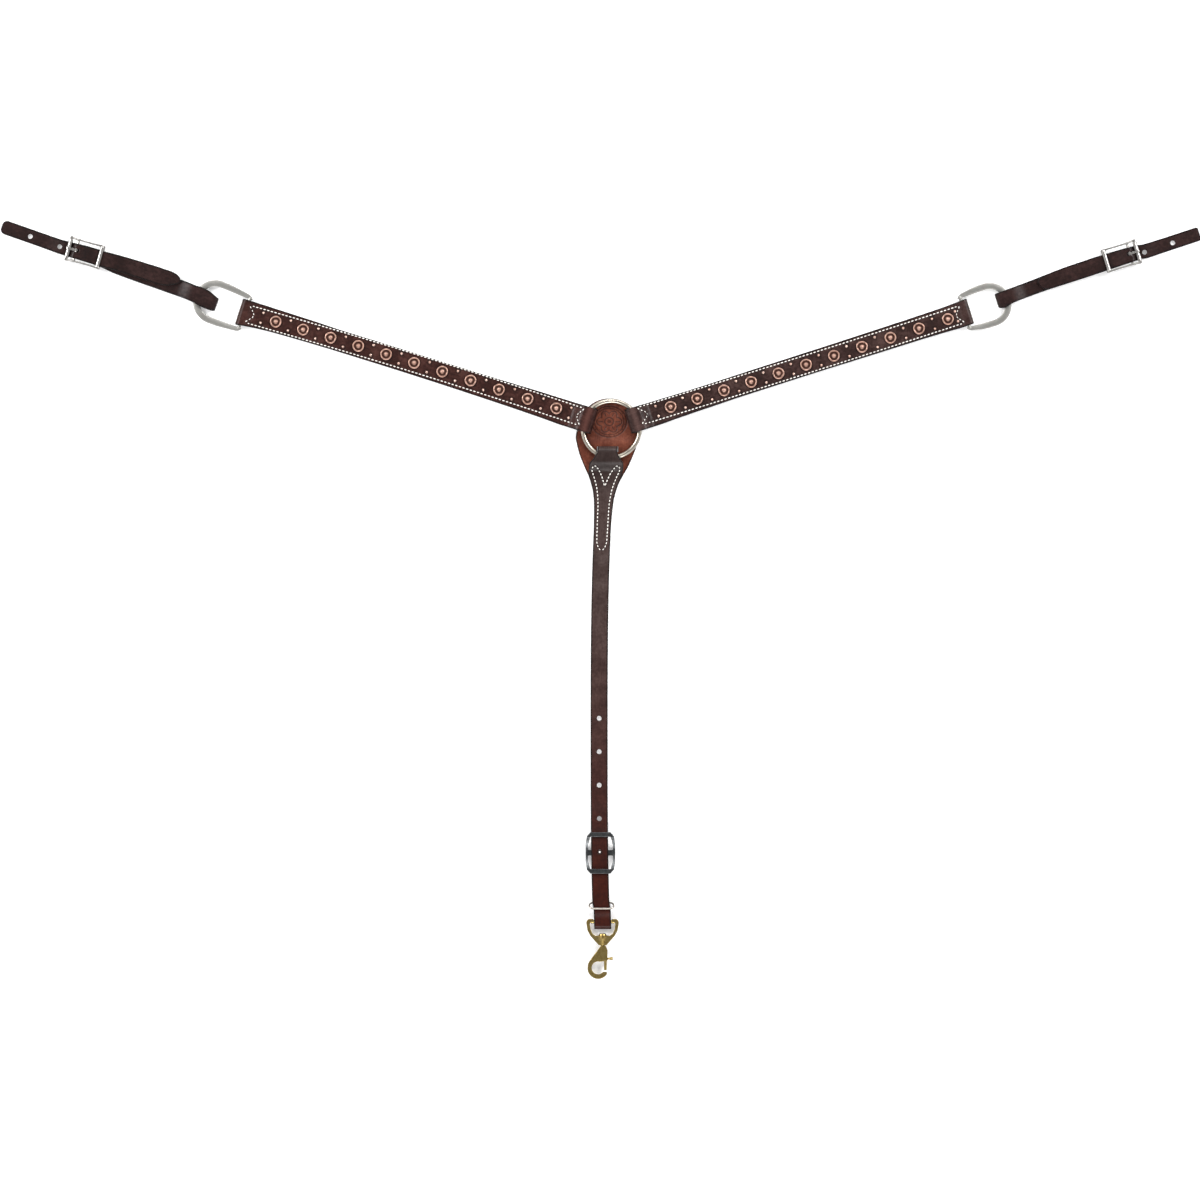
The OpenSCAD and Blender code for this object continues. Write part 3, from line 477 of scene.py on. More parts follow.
# ---- materials
class Nodes:
    def __init__(self, name):
        self.mat = bpy.data.materials.new(name)
        self.mat.use_nodes = True
        self.t = self.mat.node_tree
        self.bsdf = self.t.nodes["Principled BSDF"]
        self.obj = self.t.nodes.new("ShaderNodeTexCoord").outputs["Object"]

    def new(self, kind, **values):
        n = self.t.nodes.new(kind)
        for key, v in values.items():
            if hasattr(n, key) and key not in n.inputs:
                setattr(n, key, v)
            else:
                n.inputs[key.replace("_", " ")].default_value = v
        return n

    def link(self, a, b):
        self.t.links.new(a, b)

    def noise(self, scale, detail=4.0, rough=0.55, vec=None, dist=0.0):
        n = self.new("ShaderNodeTexNoise", Scale=scale, Detail=detail, Roughness=rough, Distortion=dist)
        self.link(vec or self.obj, n.inputs["Vector"])
        return n.outputs["Fac"]

    def cells(self, scale, feature="F1"):
        n = self.new("ShaderNodeTexVoronoi", feature=feature, Scale=scale, Randomness=1.0)
        self.link(self.obj, n.inputs["Vector"])
        return n.outputs["Distance"]

    def attr(self, name):
        n = self.t.nodes.new("ShaderNodeAttribute")
        n.attribute_name = name
        return n.outputs["Fac"]

    def ramp(self, fac, stops):
        n = self.t.nodes.new("ShaderNodeValToRGB")
        e = n.color_ramp.elements
        while len(e) < len(stops):
            e.new(0.5)
        for el, (p, c) in zip(e, stops):
            el.position = p
            el.color = (*c, 1) if not isinstance(c, (int, float)) else (c, c, c, 1)
        self.link(fac, n.inputs["Fac"])
        return n.outputs["Color"]

    def mix(self, fac, a, b, blend="MIX"):
        n = self.t.nodes.new("ShaderNodeMix")
        n.data_type = "RGBA"
        n.blend_type = blend
        for sock, v in ((n.inputs[0], fac), (n.inputs[6], a), (n.inputs[7], b)):
            if isinstance(v, (int, float)):
                sock.default_value = v if sock == n.inputs[0] else (v, v, v, 1)
            elif isinstance(v, tuple):
                sock.default_value = (*v, 1)
            else:
                self.link(v, sock)
        return n.outputs[2]

    def math(self, op, a, b=0.0):
        n = self.t.nodes.new("ShaderNodeMath")
        n.operation = op
        for sock, v in zip(n.inputs, (a, b)):
            if isinstance(v, (int, float)):
                sock.default_value = v
            else:
                self.link(v, sock)
        return n.outputs[0]

    def add(self, a, b):
        return self.math("ADD", a, b)

    def mul(self, a, b):
        return self.math("MULTIPLY", a, b)

    def shader(self, **values):
        """Set or link the shader's own sockets: Base_Color=..., Roughness=..."""
        for key, v in values.items():
            sock = self.bsdf.inputs[key.replace("_", " ")]
            if isinstance(v, (int, float, tuple)):
                sock.default_value = v
            else:
                self.link(v, sock)

    def remap(self, v, a, b, c, d):
        n = self.new("ShaderNodeMapRange", From_Min=a, From_Max=b, To_Min=c, To_Max=d)
        self.link(v, n.inputs["Value"])
        return n.outputs["Result"]

    def bump(self, height, strength, dist, normal=None):
        n = self.new("ShaderNodeBump", Strength=strength, Distance=dist)
        self.link(height, n.inputs["Height"])
        if normal:
            self.link(normal, n.inputs["Normal"])
        return n.outputs["Normal"]

    def strap_vec(self, x, y):
        """Coordinates that run along the strip, stretched by x and y."""
        n = self.t.nodes.new("ShaderNodeCombineXYZ")
        self.link(self.mul(self.attr("along"), x), n.inputs[0])
        self.link(self.mul(self.attr("across"), y), n.inputs[1])
        return n.outputs[0]


FLESH = (0.075, 0.035, 0.024)
# the second number sets how much lighter than a leather's light colour its painted highlight colour is
LEATHER_GLOSS, LIGHT_TONE_GAIN = 0.16, 2.6


def leather(name, dark, mid, light, edge, rough=0.38, tail=None):
    """Waxed harness leather: mottled dye, pull-up streaks, pores, burnished edges and a rough flesh side."""
    n = Nodes(name)
    cloud = n.noise(38, 5, 0.6)
    small = n.noise(260, 6, 0.62)
    streaks = n.noise(1.0, 5, 0.6, n.strap_vec(55, 900))
    tone = n.add(n.mul(cloud, 0.55),
                  n.add(n.mul(small, 0.45), n.mul(streaks, 0.3)))
    col = n.ramp(n.remap(tone, 0.44, 0.80, 0, 1), [(0.0, dark), (0.5, mid), (1.0, light)])
    if tail:
        # painted sheen: the girth's base colours are greyed to stand for a sheen over its upper part, and
        # the colour turns redder, without that sheen, towards its lower end
        y = n.t.nodes.new("ShaderNodeSeparateXYZ")
        n.link(n.obj, y.inputs[0])
        col = n.mix(n.remap(y.outputs["Y"], -0.22, -0.62, 0, 1), col, n.mix(1.0, col, tail, "MULTIPLY"))
    pores = n.cells(1500)
    creases = n.cells(900, feature="DISTANCE_TO_EDGE")
    col = n.mix(n.remap(pores, 0.0, 0.22, 0.35, 0.0), col, edge)
    col = n.mix(n.remap(creases, 0.0, 0.10, 0.30, 0.0), col, edge)
    col = n.mix(n.mul(n.attr("tool"), 0.85), col, edge)
    # the lighter colour laid where the tool attribute is negative: the painted highlight across the breast
    # straps' folds, and the lighter band round the tugs' pointed ends
    light_tone = tuple(min(1.0, LIGHT_TONE_GAIN * v) for v in light)
    side = n.add(n.attr("edge"), n.remap(small, 0.3, 0.7, -0.5, 0.5))
    col = n.mix(n.remap(side, 0.8, 2.5, 0.95, 0.0), col, edge)
    col = n.mix(n.remap(n.attr("tool"), -0.1, -1.0, 0.0, 0.85), col, light_tone)
    fibre = n.noise(2400, 3, 0.7)
    back = n.mix(fibre, tuple(c * 0.6 for c in FLESH), FLESH)
    inside = n.remap(n.attr("edge"), 0.6, 1.2, 0.0, 1.0)
    is_back = n.mul(n.attr("flesh"), inside)
    col = n.mix(is_back, col, back)
    r = n.remap(tone, 0.35, 0.85, rough + 0.10, rough - 0.08)
    r = n.add(r, n.mul(is_back, 0.35))
    r = n.add(r, n.remap(pores, 0, 0.3, 0.12, 0))
    hgt = n.add(n.mul(n.remap(pores, 0, 0.5, 0, 1), 0.5),
                 n.mul(n.remap(creases, 0, 0.12, 0, 1), 0.5))
    b1 = n.bump(hgt, 0.35, 0.00012)
    b2 = n.bump(n.add(small, n.mul(streaks, 0.4)), 0.5, 0.0004, b1)
    b3 = n.bump(n.mul(fibre, n.attr("flesh")), 0.5, 0.0003, b2)
    n.shader(Base_Color=col, Roughness=r, Normal=b3, Specular_IOR_Level=LEATHER_GLOSS, Coat_Weight=0.05,
             Coat_Roughness=0.28)
    return n.mat


def metal(name, bright, dull, rough, wear_scale=90, scratch=0.3, bump=0.15, brushed=0, tone=None,
          shade=0.0):
    """Plated or polished metal: cloudy dulling, fine scratches, the tone attribute's darker colour (patina
    in recesses, painted highlight and shade on domes) and painted shade on upright sides.
    """
    n = Nodes(name)
    cloud = n.noise(wear_scale, 6, 0.6)
    fine = n.noise(900, 5, 0.65)
    if brushed:
        m = n.t.nodes.new("ShaderNodeMapping")
        m.inputs["Scale"].default_value = (1, 18, 1)
        m.inputs["Rotation"].default_value = (0, 0, brushed)
        n.link(n.obj, m.inputs["Vector"])
        lines = n.noise(420, 4, 0.7, m.outputs["Vector"])
    else:
        lines = n.noise(420, 4, 0.7, dist=1.5)
    wear = n.add(n.mul(cloud, 0.7), n.mul(fine, 0.3))
    fac = n.remap(wear, 0.38, 0.66, 0, 1)
    col = n.mix(fac, dull, bright)
    if tone:
        col = n.mix(n.attr("tone"), tone, col)
    # painted shade: faces turned away from straight up or down are darkened towards a near-black copy of the
    # dull colour
    if shade:
        facing = n.t.nodes.new("ShaderNodeSeparateXYZ")
        n.link(n.t.nodes.new("ShaderNodeTexCoord").outputs["Normal"], facing.inputs[0])
        painted_side_shade = n.remap(n.math("ABSOLUTE", facing.outputs["Z"]), 0.25, 0.85, shade, 0.0)
        col = n.mix(painted_side_shade, col, tuple(0.12 * v for v in dull))
    r = n.add(n.remap(fac, 0, 1, rough + 0.12, rough), n.mul(lines, scratch * 0.3))
    if tone:
        r = n.add(r, n.remap(n.attr("tone"), 0, 1, 0.3, 0))
    b = n.bump(n.add(n.mul(lines, scratch), fine), bump, 0.00012)
    n.shader(Base_Color=col, Roughness=r, Normal=b, Metallic=1.0)
    return n.mat


def thread_material():
    n = Nodes("thread_cream")
    soil = n.noise(120, 4, 0.6)
    ply = n.noise(3200, 3, 0.6)
    col = n.mix(n.remap(soil, 0.35, 0.65, 0, 1), (0.80, 0.76, 0.70), (0.95, 0.93, 0.89))
    col = n.mix(n.remap(ply, 0.3, 0.6, 0.25, 0), col, (0.50, 0.44, 0.38))
    n.shader(Base_Color=col, Normal=n.bump(ply, 0.5, 0.0002), Roughness=0.62, Sheen_Weight=0.2)
    return n.mat


M = {
    "left": leather("collar_brown_left", (0.009, 0.0030, 0.0024), (0.026, 0.0085, 0.0066),
                    (0.064, 0.026, 0.021), (0.0025, 0.0013, 0.0012)),
    # the right arm's copy is greyer than the left's, painting the sheen its top catches
    "right": leather("collar_brown_right", (0.009, 0.0042, 0.0038), (0.024, 0.0112, 0.0098),
                     (0.062, 0.035, 0.031), (0.0025, 0.0016, 0.0015)),
    # the girth's greyish colours paint a sheen over its upper part; tail turns the lower end redder
    "girth": leather("girth_brown", (0.020, 0.0105, 0.0095), (0.042, 0.026, 0.0235),
                     (0.072, 0.050, 0.046), (0.0040, 0.0022, 0.0020), tail=(0.66, 0.19, 0.12)),
    "tug": leather("tug_brown", (0.006, 0.0028, 0.0026), (0.015, 0.0068, 0.0062),
                   (0.036, 0.018, 0.0165), (0.0020, 0.0012, 0.0011)),
    "safe": leather("safe_russet", (0.040, 0.0095, 0.0055), (0.100, 0.026, 0.0145),
                    (0.185, 0.058, 0.034), (0.0075, 0.0025, 0.0018)),
    "lining": leather("lining_brown", (0.014, 0.006, 0.005), (0.028, 0.012, 0.009),
                      (0.045, 0.02, 0.015), (0.003, 0.0018, 0.0016), rough=0.6),
    "thread": thread_material(),
    "copper": metal("copper_plate", (0.66, 0.42, 0.34), (0.44, 0.25, 0.19), 0.22,
                    tone=(0.035, 0.012, 0.009)),
    "spot": metal("spot_copper", (0.74, 0.54, 0.46), (0.40, 0.24, 0.19), 0.18,
                  tone=(0.03, 0.012, 0.009)),
    "nickel": metal("ring_nickel", (0.66, 0.61, 0.53), (0.46, 0.41, 0.34), 0.18, shade=0.75),
    "satin": metal("dee_satin", (0.44, 0.43, 0.405), (0.31, 0.305, 0.285), 0.32, scratch=0.5,
                   bump=0.2, brushed=0.4, shade=0.6),
    "polish": metal("buckle_polish", (0.68, 0.66, 0.63), (0.42, 0.405, 0.39), 0.2, shade=0.8),
    "gun": metal("gunmetal", (0.16, 0.165, 0.17), (0.055, 0.058, 0.06), 0.26, brushed=1.2,
                 shade=0.8),
    "wire": metal("keeper_wire", (0.60, 0.55, 0.50), (0.40, 0.36, 0.32), 0.24, shade=0.6),
    "brass": metal("old_brass", (0.66, 0.50, 0.19), (0.26, 0.175, 0.055), 0.2, wear_scale=160,
                   scratch=0.5, bump=0.3, shade=0.9),
    "spring": metal("spring_steel", (0.6, 0.6, 0.6), (0.4, 0.4, 0.4), 0.3),
}


# ---- breast straps
def smooth_lookup(xs, ys, x):
    """Piecewise cubic through (xs, ys), monotone and smooth."""
    if x <= xs[0]:
        return ys[0]
    if x >= xs[-1]:
        return ys[-1]
    i = next(j for j in range(1, len(xs)) if xs[j] >= x) - 1

    def slope(j):
        if j == 0 or j == len(xs) - 1:
            return 0.0
        a = (ys[j] - ys[j - 1]) / (xs[j] - xs[j - 1])
        b = (ys[j + 1] - ys[j]) / (xs[j + 1] - xs[j])
        return 0.0 if a * b <= 0 else 2 * a * b / (a + b)

    h = xs[i + 1] - xs[i]
    f = (x - xs[i]) / h
    return ((2 * f ** 3 - 3 * f ** 2 + 1) * ys[i] + (f ** 3 - 2 * f ** 2 + f) * h * slope(i)
            + (3 * f ** 2 - 2 * f ** 3) * ys[i + 1] + (f ** 3 - f ** 2) * h * slope(i + 1))


STUD_N = 11
ROW, ROW_SHIFT, STUD_SHIFT = 12.5, 0.9, 0.6
SIDE_PITCH, BRACE_PITCH = 5.35, 5.2
SPOT_SIDE = 7.2
# painted highlight: where and how wide the lighter band across each breast strap's fold over the ring is
# painted
FOLD_SHINE_S, FOLD_SHINE_W = 36.5, 5.0


def arm_mid(s, bend):
    return bend[0] + bend[1] * ((s - 260) / 266) ** 2


def arm_top(s, bar):
    """The top layer's middle surface: over the ring, along the lining and over the dee's bar."""
    if s < 200:
        return ease(s, 43, 61, RING_Z + RING_FOLD_R, SECOND_Z)
    return ease(s, bar - 14, bar - 3, SECOND_Z, DEE_Z + DEE_FOLD_R)


def arm_path(bar):
    """From the lap behind the ring, round the ring, along the top and round the dee to the other lap."""
    return (run(lambda s: FLOOR_Z, (72, 61.5, 8))
            + run(lambda s: ease(s, 48, 60, LAP_Z, FLOOR_Z), (61, 47, 28))
            + arc((RING_FOLD_S, RING_Z), RING_FOLD_R, 270, 90, 30)
            + run(lambda s: arm_top(s, bar), (41, 62, 40), (63, bar - 16, 60), (bar - 15, bar - 1, 30))
            + arc((bar + DEE_FOLD_PAST, DEE_Z), DEE_FOLD_R, 90, -90, 30)
            + run(lambda s: FLOOR_Z, (bar + 1, bar - LAP_L, 10)))


def stud_s(i, at):
    """Where stud i stands along a strap: an even pitch that opens or closes a little at the ends."""
    return at[0] + i * at[1] + at[2] * (((i - 5) / 5) ** 2 - 0.4)


def spot_s(i, at, gaps):
    """Where a pair of spots stands: midway between two studs, or a gap beyond the row's ends."""
    if i < 0:
        return stud_s(0, at) - gaps[0]
    if i == STUD_N - 1:
        return stud_s(i, at) + gaps[1]
    return (stud_s(i, at) + stud_s(i + 1, at)) / 2


def brace(s_corner, s_mid, bend, side):
    """The brace-shaped row of stitches across a strap's end, from one corner to the other."""
    out = []
    for y in steps(-ROW, ROW, 24):
        f = abs(y) / ROW
        s = s_mid + (s_corner - s_mid) * (0.5 - 0.5 * math.cos(math.pi * f ** 1.25)) ** 0.9
        # the point in the middle reaches further into the strap
        if f < 0.22:
            s += (s_mid - s_corner) * 0.12 * (1 - f / 0.22)
        out.append((s, arm_mid(s, bend) + ROW_SHIFT + y))
    return out


def stitch_groove(a, y, lines, width=0.75, depth=0.42):
    """Depth of the channel that the stitches lie in, from polylines, on arrays a and y."""
    best = np.full(a.shape, 9.0)
    for line, _ in lines:
        p = np.array(line, float)
        lo, hi = p.min(0) - 3, p.max(0) + 3
        near = (a > lo[0]) & (a < hi[0]) & (y > lo[1]) & (y < hi[1])
        if not near.any():
            continue
        aa, yy = a[near], y[near]
        d = np.full(aa.shape, 9.0)
        for (x0, y0), (x1, y1) in zip(p[:-1], p[1:]):
            close = (aa > min(x0, x1) - 3) & (aa < max(x0, x1) + 3)
            if not close.any():
                continue
            ex, ey = x1 - x0, y1 - y0
            ll = max(1e-9, ex * ex + ey * ey)
            tt = np.clip(((aa[close] - x0) * ex + (yy[close] - y0) * ey) / ll, 0, 1)
            dd = np.hypot(aa[close] - x0 - tt * ex, yy[close] - y0 - tt * ey)
            d[close] = np.minimum(d[close], dd)
        best[near] = np.minimum(best[near], d)
    return depth * np.exp(-(best / width) ** 2)


def waves(a, y, seed, size=0.12):
    """Slow unevenness of hand-worked leather."""
    r = np.random.RandomState(seed)
    out = np.zeros_like(a)
    for _ in range(7):
        ka, ky = r.uniform(0.02, 0.16), r.uniform(-0.15, 0.15)
        out += np.sin(a * ka + y * ky + r.uniform(0, 6.3))
    return out * size / 7 * 2


STUD_PROFILE = ([(0, 3.95), (0.6, 3.93), (1.3, 3.78), (2.0, 3.45), (2.6, 3.0), (3.1, 2.4), (3.5, 1.7),
                 (3.75, 1.15), (4.1, 0.9), (4.7, 0.82), (5.3, 0.88), (5.8, 1.1), (6.1, 1.5), (6.35, 1.9),
                 (6.7, 2.14)]
                + arc((7.15, 1.05), 1.15, 90, 0, 8) + [(8.32, 0.5), (8.3, 0.0), (0, 0.0)])
SPOT_PROFILE = [(0, 2.0), (0.5, 1.95), (1.0, 1.76), (1.5, 1.42), (2.0, 0.98), (2.35, 0.58), (2.6, 0.15),
                (2.6, -0.1), (0, -0.1)]


def stud_tone(r, z):
    """Patina blackens the groove between dome and rim; painted shade darkens the dome's sides and the rim's
    outer foot, leaving a painted highlight on the dome's top.
    """
    if 3.4 < r < 6.2 and z < 1.75:
        return 0.08
    if r < 3.6:
        return 1.0 if r < 1.7 else 0.7 if r < 2.7 else 0.4
    return 0.35 if r > 8.1 else 1.0


def spot_tone(r, z):
    # painted highlight on the spot's top, with its sides darkened as painted shade
    return 1.0 if r < 1.3 else 0.45 if r < 1.8 else 0.1


for side, arm in ARMS.items():
    bar, bend, at = arm["bar"], arm["bend"], arm["studs"]
    place = turn_z(arm["dir"])
    in_c, in_m, out_c, out_m = arm["swag"]
    rows = []
    for sg in (-1, 1):
        row = [(s, arm_mid(s, bend) + ROW_SHIFT + sg * ROW) for s in steps(in_c + 2, out_c - 2, 60)]
        rows.append((row, SIDE_PITCH))
    rows.append((brace(in_c, in_m, bend, 1), BRACE_PITCH))
    rows.append((brace(out_c, out_m, bend, -1), BRACE_PITCH))
    pairs = [(spot_s(i, at, arm["gaps"]), sg) for i in range(-1, STUD_N) for sg in (-1, 1)]
    side_s, side_low, side_high = zip(*arm["sides"])

    def arm_disp(a, y, u, z):
        """Stitch channels, the pressed rings round the studs, a crescent beside each spot, and a painted
        highlight across the fold over the ring.
        """
        on_top = z > SECOND_Z - 0.5
        v = y - STUD_SHIFT - arm_mid(a, bend)
        off = waves(a, y, 3 if side == "left" else 5)
        groove = stitch_groove(a, y, rows)
        off = off - np.where(on_top, groove, 0)
        tool = np.where(on_top, groove * 0.9, 0)
        crown = 0.22 * (1 - (np.clip(np.abs(v) / ROW, 0, 1)) ** 3) - 0.1
        off = off + np.where(on_top, crown, 0)
        for i in range(STUD_N):
            r = np.hypot(a - stud_s(i, at), v)
            dip = 0.30 * np.exp(-((r - 8.6) / 1.3) ** 2)
            off = off - np.where(on_top & (r < 13), dip, 0)
            tool = tool + np.where(on_top & (r < 11), 0.6 * np.exp(-((r - 8.6) / 0.7) ** 2), 0)
        for s0, sg in pairs:
            dx, dy = a - s0, v - sg * SPOT_SIDE
            r = np.hypot(dx, dy)
            seat = 0.22 * np.exp(-((r - 2.9) / 0.7) ** 2)
            # the crescent stamped beside each spot, open towards the strap's middle
            c = np.abs(np.arctan2(dx, dy * sg + 1e-9))
            arch = np.exp(-((np.hypot(dx, dy - sg * 0.2) - 4.4) / 0.55) ** 2)
            cres = arch * np.clip((1.35 - c) / 0.35, 0, 1)
            off = off - np.where(on_top & (r < 7), seat + 0.5 * cres, 0)
            tool = tool + np.where(on_top & (r < 7), 0.5 * seat / 0.22 + 0.9 * cres, 0)
        # painted highlight across the fold over the ring, carried as negative tool
        shine = 0.4 * np.exp(-((a - FOLD_SHINE_S) / FOLD_SHINE_W) ** 2)
        return off, np.clip(tool, 0, 1) - np.where(z > SECOND_Z - 4, shine, 0)

    def arm_edges(a, u):
        return smooth_lookup(side_s, side_low, a), smooth_lookup(side_s, side_high, a)

    o = strip(f"{side}_breast_leather", arm_path(bar), arm_edges, place, disp=arm_disp, step=0.75, col=0.62)
    put(o, f"{side}_arm", "collar_leather", M[side], f"{side}_breast_strap")

    lining_path = run(lambda s: FLOOR_Z, (72.6, bar - LAP_L - 0.6, 20))
    o = strip(f"{side}_breast_backing", lining_path, arm_edges, place, step=3.0, col=3.0)
    put(o, f"{side}_arm", "lining_leather", M["lining"], f"{side}_breast_lining")

    o = stitches(f"{side}_breast_stitches", rows, lambda s, y: arm_top(s, bar) + HALF - THREAD_SINK, place,
                 under=lambda s, y: 0.0)
    put(o, f"{side}_arm", "thread", M["thread"], f"{side}_stitching")

    seats = [(s, arm_mid(s, bend) + STUD_SHIFT, SECOND_Z + HALF)
             for s in (stud_s(i, at) for i in range(STUD_N))]
    o = lathe(f"{side}_concho_studs", STUD_PROFILE, seats, place, light_tone=stud_tone)
    put(o, f"{side}_arm", "copper", M["copper"], f"{side}_studs")
    seats = [(s, arm_mid(s, bend) + STUD_SHIFT + sg * SPOT_SIDE, arm_top(s, bar) + HALF) for s, sg in pairs]
    o = lathe(f"{side}_domed_spots", SPOT_PROFILE, seats, place, segs=24, light_tone=spot_tone)
    put(o, f"{side}_arm", "spot_metal", M["spot"], f"{side}_spots")


# ---- girth strap and centre leather
NECK_FOLD_Y = -33.5
NECK_TOP_Z = RING_Z + RING_WIRE + 1.7 + HALF
NECK_FOLD_R = (NECK_TOP_Z - FLOOR_Z) / 2
SAFE_LOW = HIDE + 0.1
EYE_Z, EYE_FOLD_R, EYE_FOLD_Y, TAIL_END = 6, 2.7 + 0.3 + HALF, -694.9, -552


def girth_mid(y):
    back = np.clip((y + 676) / 18, 0, 1)
    return 1.6 * (1 - back * back * (3 - 2 * back)) - 14.5 * (1 - np.abs((y + 430) / 430) ** 3)


def girth_z(y):
    if y > -96:
        return ease(y, -62, -44, SAFE_LOW + HIDE + 0.3 + HALF, NECK_TOP_Z)
    if y > -172:
        return ease(y, -118, -96, FLOOR_Z + TUG_STEP, SAFE_LOW + HIDE + 0.3 + HALF)
    if y > -300:
        return ease(y, -195, -172, FLOOR_Z, FLOOR_Z + TUG_STEP)
    if y > -548:
        return ease(y, -544, -518, FLOOR_Z + TUG_STEP, FLOOR_Z)
    if y > -672:
        return ease(y, -575, -552, HIDE + FLOOR_Z + TUG_STEP, FLOOR_Z + TUG_STEP)
    return ease(y, -687, -675, EYE_Z + EYE_FOLD_R, HIDE + FLOOR_Z + TUG_STEP)


def tail_z(y):
    if y > -672:
        return ease(y, -575, -552, HIDE + FLOOR_Z, FLOOR_Z)
    return ease(y, -687, -675, EYE_Z - EYE_FOLD_R, HIDE + FLOOR_Z)


NECK_W = [(-20, 14), (-33, 14), (-38, 16.6), (-43, 19), (-47, 22.6), (-50, 23.6), (-58, 24.0),
          (-66, 23.4), (-78, 18.8), (-89, 15.8), (-100, 14.0), (-122, 12.6), (-145, 12), (-175, 12)]
HEAD_Y = [-p[0] for p in NECK_W]
HEAD_W = [p[1] for p in NECK_W]


girth_path = (run(lambda y: FLOOR_Z, (-176, -40, 40))
              + arc((NECK_FOLD_Y, FLOOR_Z + NECK_FOLD_R), NECK_FOLD_R, -90, 90, 36)
              + run(girth_z, (-38, -200, 160), (-201, -515, 90), (-516, -690, 200))
              + arc((EYE_FOLD_Y, EYE_Z), EYE_FOLD_R, 90, 270, 30)
              + run(tail_z, (-690, TAIL_END, 160)))
LAP_U = 176 - 33.5


def girth_edges(y, u):
    m = girth_mid(y)
    if u < LAP_U:
        w = smooth_lookup([33, 60, 81, 110, 176], [14, 14, 13.2, 12, 12], -y) if u > 6 else 6.2 + 0.8 * u
    else:
        w = smooth_lookup(HEAD_Y, HEAD_W, -y)
    return m - w, m + w


def girth_place():
    """Local (along = Y, across = X) to the row frame."""
    m = Matrix(((0, 1, 0, GIRTH_AT[0]), (1, 0, 0, GIRTH_AT[1]), (0, 0, 1, 0), (0, 0, 0, 1)))
    return Matrix.Scale(MM, 4) @ m


def on_girth(rows):
    """Rows of points beside the strap's middle line, moved onto the strap."""
    return [([(y, girth_mid(y) + x) for y, x in r], p) for r, p in rows]


NECK_PITCH = 5.0
neck_side = []
for sg in (-1, 1):
    # the long row from the shoulder's corner down to the rounded point, then the V between the shoulders
    long_row = [(-52.4, 17.6), (-54.5, 19.3), (-58.5, 19.8), (-68, 15.8), (-76, 13.0), (-86, 10.3),
                (-98, 8.5), (-107, 7.7), (-121, 7.5), (-135, 7.4), (-149, 7.2), (-160, 6.9),
                (-166.5, 4.6), (-171, 0.9)]
    vee = [(-52.6, 17.0), (-51.6, 15.4), (-53.4, 13.2), (-62, 7.4), (-68.5, 4.5), (-76.5, 1.5), (-80.5, 0.3)]
    for row in (long_row, vee):
        neck_side.append(([(y, sg * x) for y, x in row], NECK_PITCH))
neck_rows = on_girth(neck_side)


def girth_disp(a, y, u, z):
    mid = girth_mid(a)
    upper = (u > LAP_U + 20) & (a > -300)
    groove = np.where(upper, stitch_groove(a, y, neck_rows, 0.8, 0.45), 0)
    off = waves(a, y, 11, 0.15) - groove
    tool = groove * 0.9
    # the band between the two rows stands a little proud, as padded by the fold-back under it
    ridge = np.where(upper & (a < -84) & (a > -172), 0.28 * np.exp(-((y - mid) / 7.5) ** 4), 0)
    off = off + ridge
    # the upper strap's colour darkens towards its top end, carried as tool
    top_darkening = np.where(upper, 0.55 * np.clip((a + 108) / 50, 0, 1), 0)
    return off, np.clip(tool + top_darkening, 0, 1)


HOLE_N = 5
hole_y = [-CONWAY_Y + i * HOLE_PITCH for i in range(HOLE_N)]
holes = [("round", y, girth_mid(y), HOLE_R, 0, math.inf) for y in hole_y]
UNDER_SAFE = 0.058  # the thread's height where the safe lies between the strap and its lap
o = strip("girth_strap_leather", girth_path, girth_edges, girth_place(), grain=-1, disp=girth_disp,
          holes=holes, step=0.85, col=0.62)
put(o, "girth", "girth_leather", M["girth"], "girth_strap")
o = stitches("girth_neck_stitches", neck_rows, lambda y, x: girth_z(y) + HALF - THREAD_SINK, girth_place(),
             under=lambda y, x: 0.0 if y < -97 else UNDER_SAFE)
put(o, "girth", "thread", M["thread"], "girth_stitching")

SAFE_SIDES = [(-12, 44.3, -1.8), (-22, 42.3, -1.3), (-33, 38.9, -0.9), (-44, 34.7, -0.3), (-55, 29.9, 0.3),
              (-66, 24.2, 0.4), (-78, 19.2, 0), (-89, 16, 0.2), (-95, 14.9, 0)]


SAFE_TOP_Y, SAFE_TAIL, SAFE_SLOT_HALF = 42.5, 96, 14.8
SAFE_HALF_W = 44.3


def safe_z(y):
    return ease(y, -24, -7, SAFE_LOW + HALF, FLOOR_Z)


def safe_edges(y, u):
    if y > -12:
        rr = SAFE_TOP_Y ** 2 - max(y, 0) ** 2
        half = math.sqrt(max(1e-4, rr))
        # the round top runs out to the widest part a little above the ring's middle
        blend = ease(y, -12, 11, 1, 0)
        mid = girth_mid(-12) - 1.8
        return (-half * (1 - blend) + (mid - SAFE_HALF_W) * blend,
                half * (1 - blend) + (mid + SAFE_HALF_W) * blend)
    ys = [-p[0] for p in SAFE_SIDES]
    w = smooth_lookup(ys, [p[1] for p in SAFE_SIDES], -y)
    c = smooth_lookup(ys, [p[2] for p in SAFE_SIDES], -y)
    m = girth_mid(y) + c
    return m - w, m + w


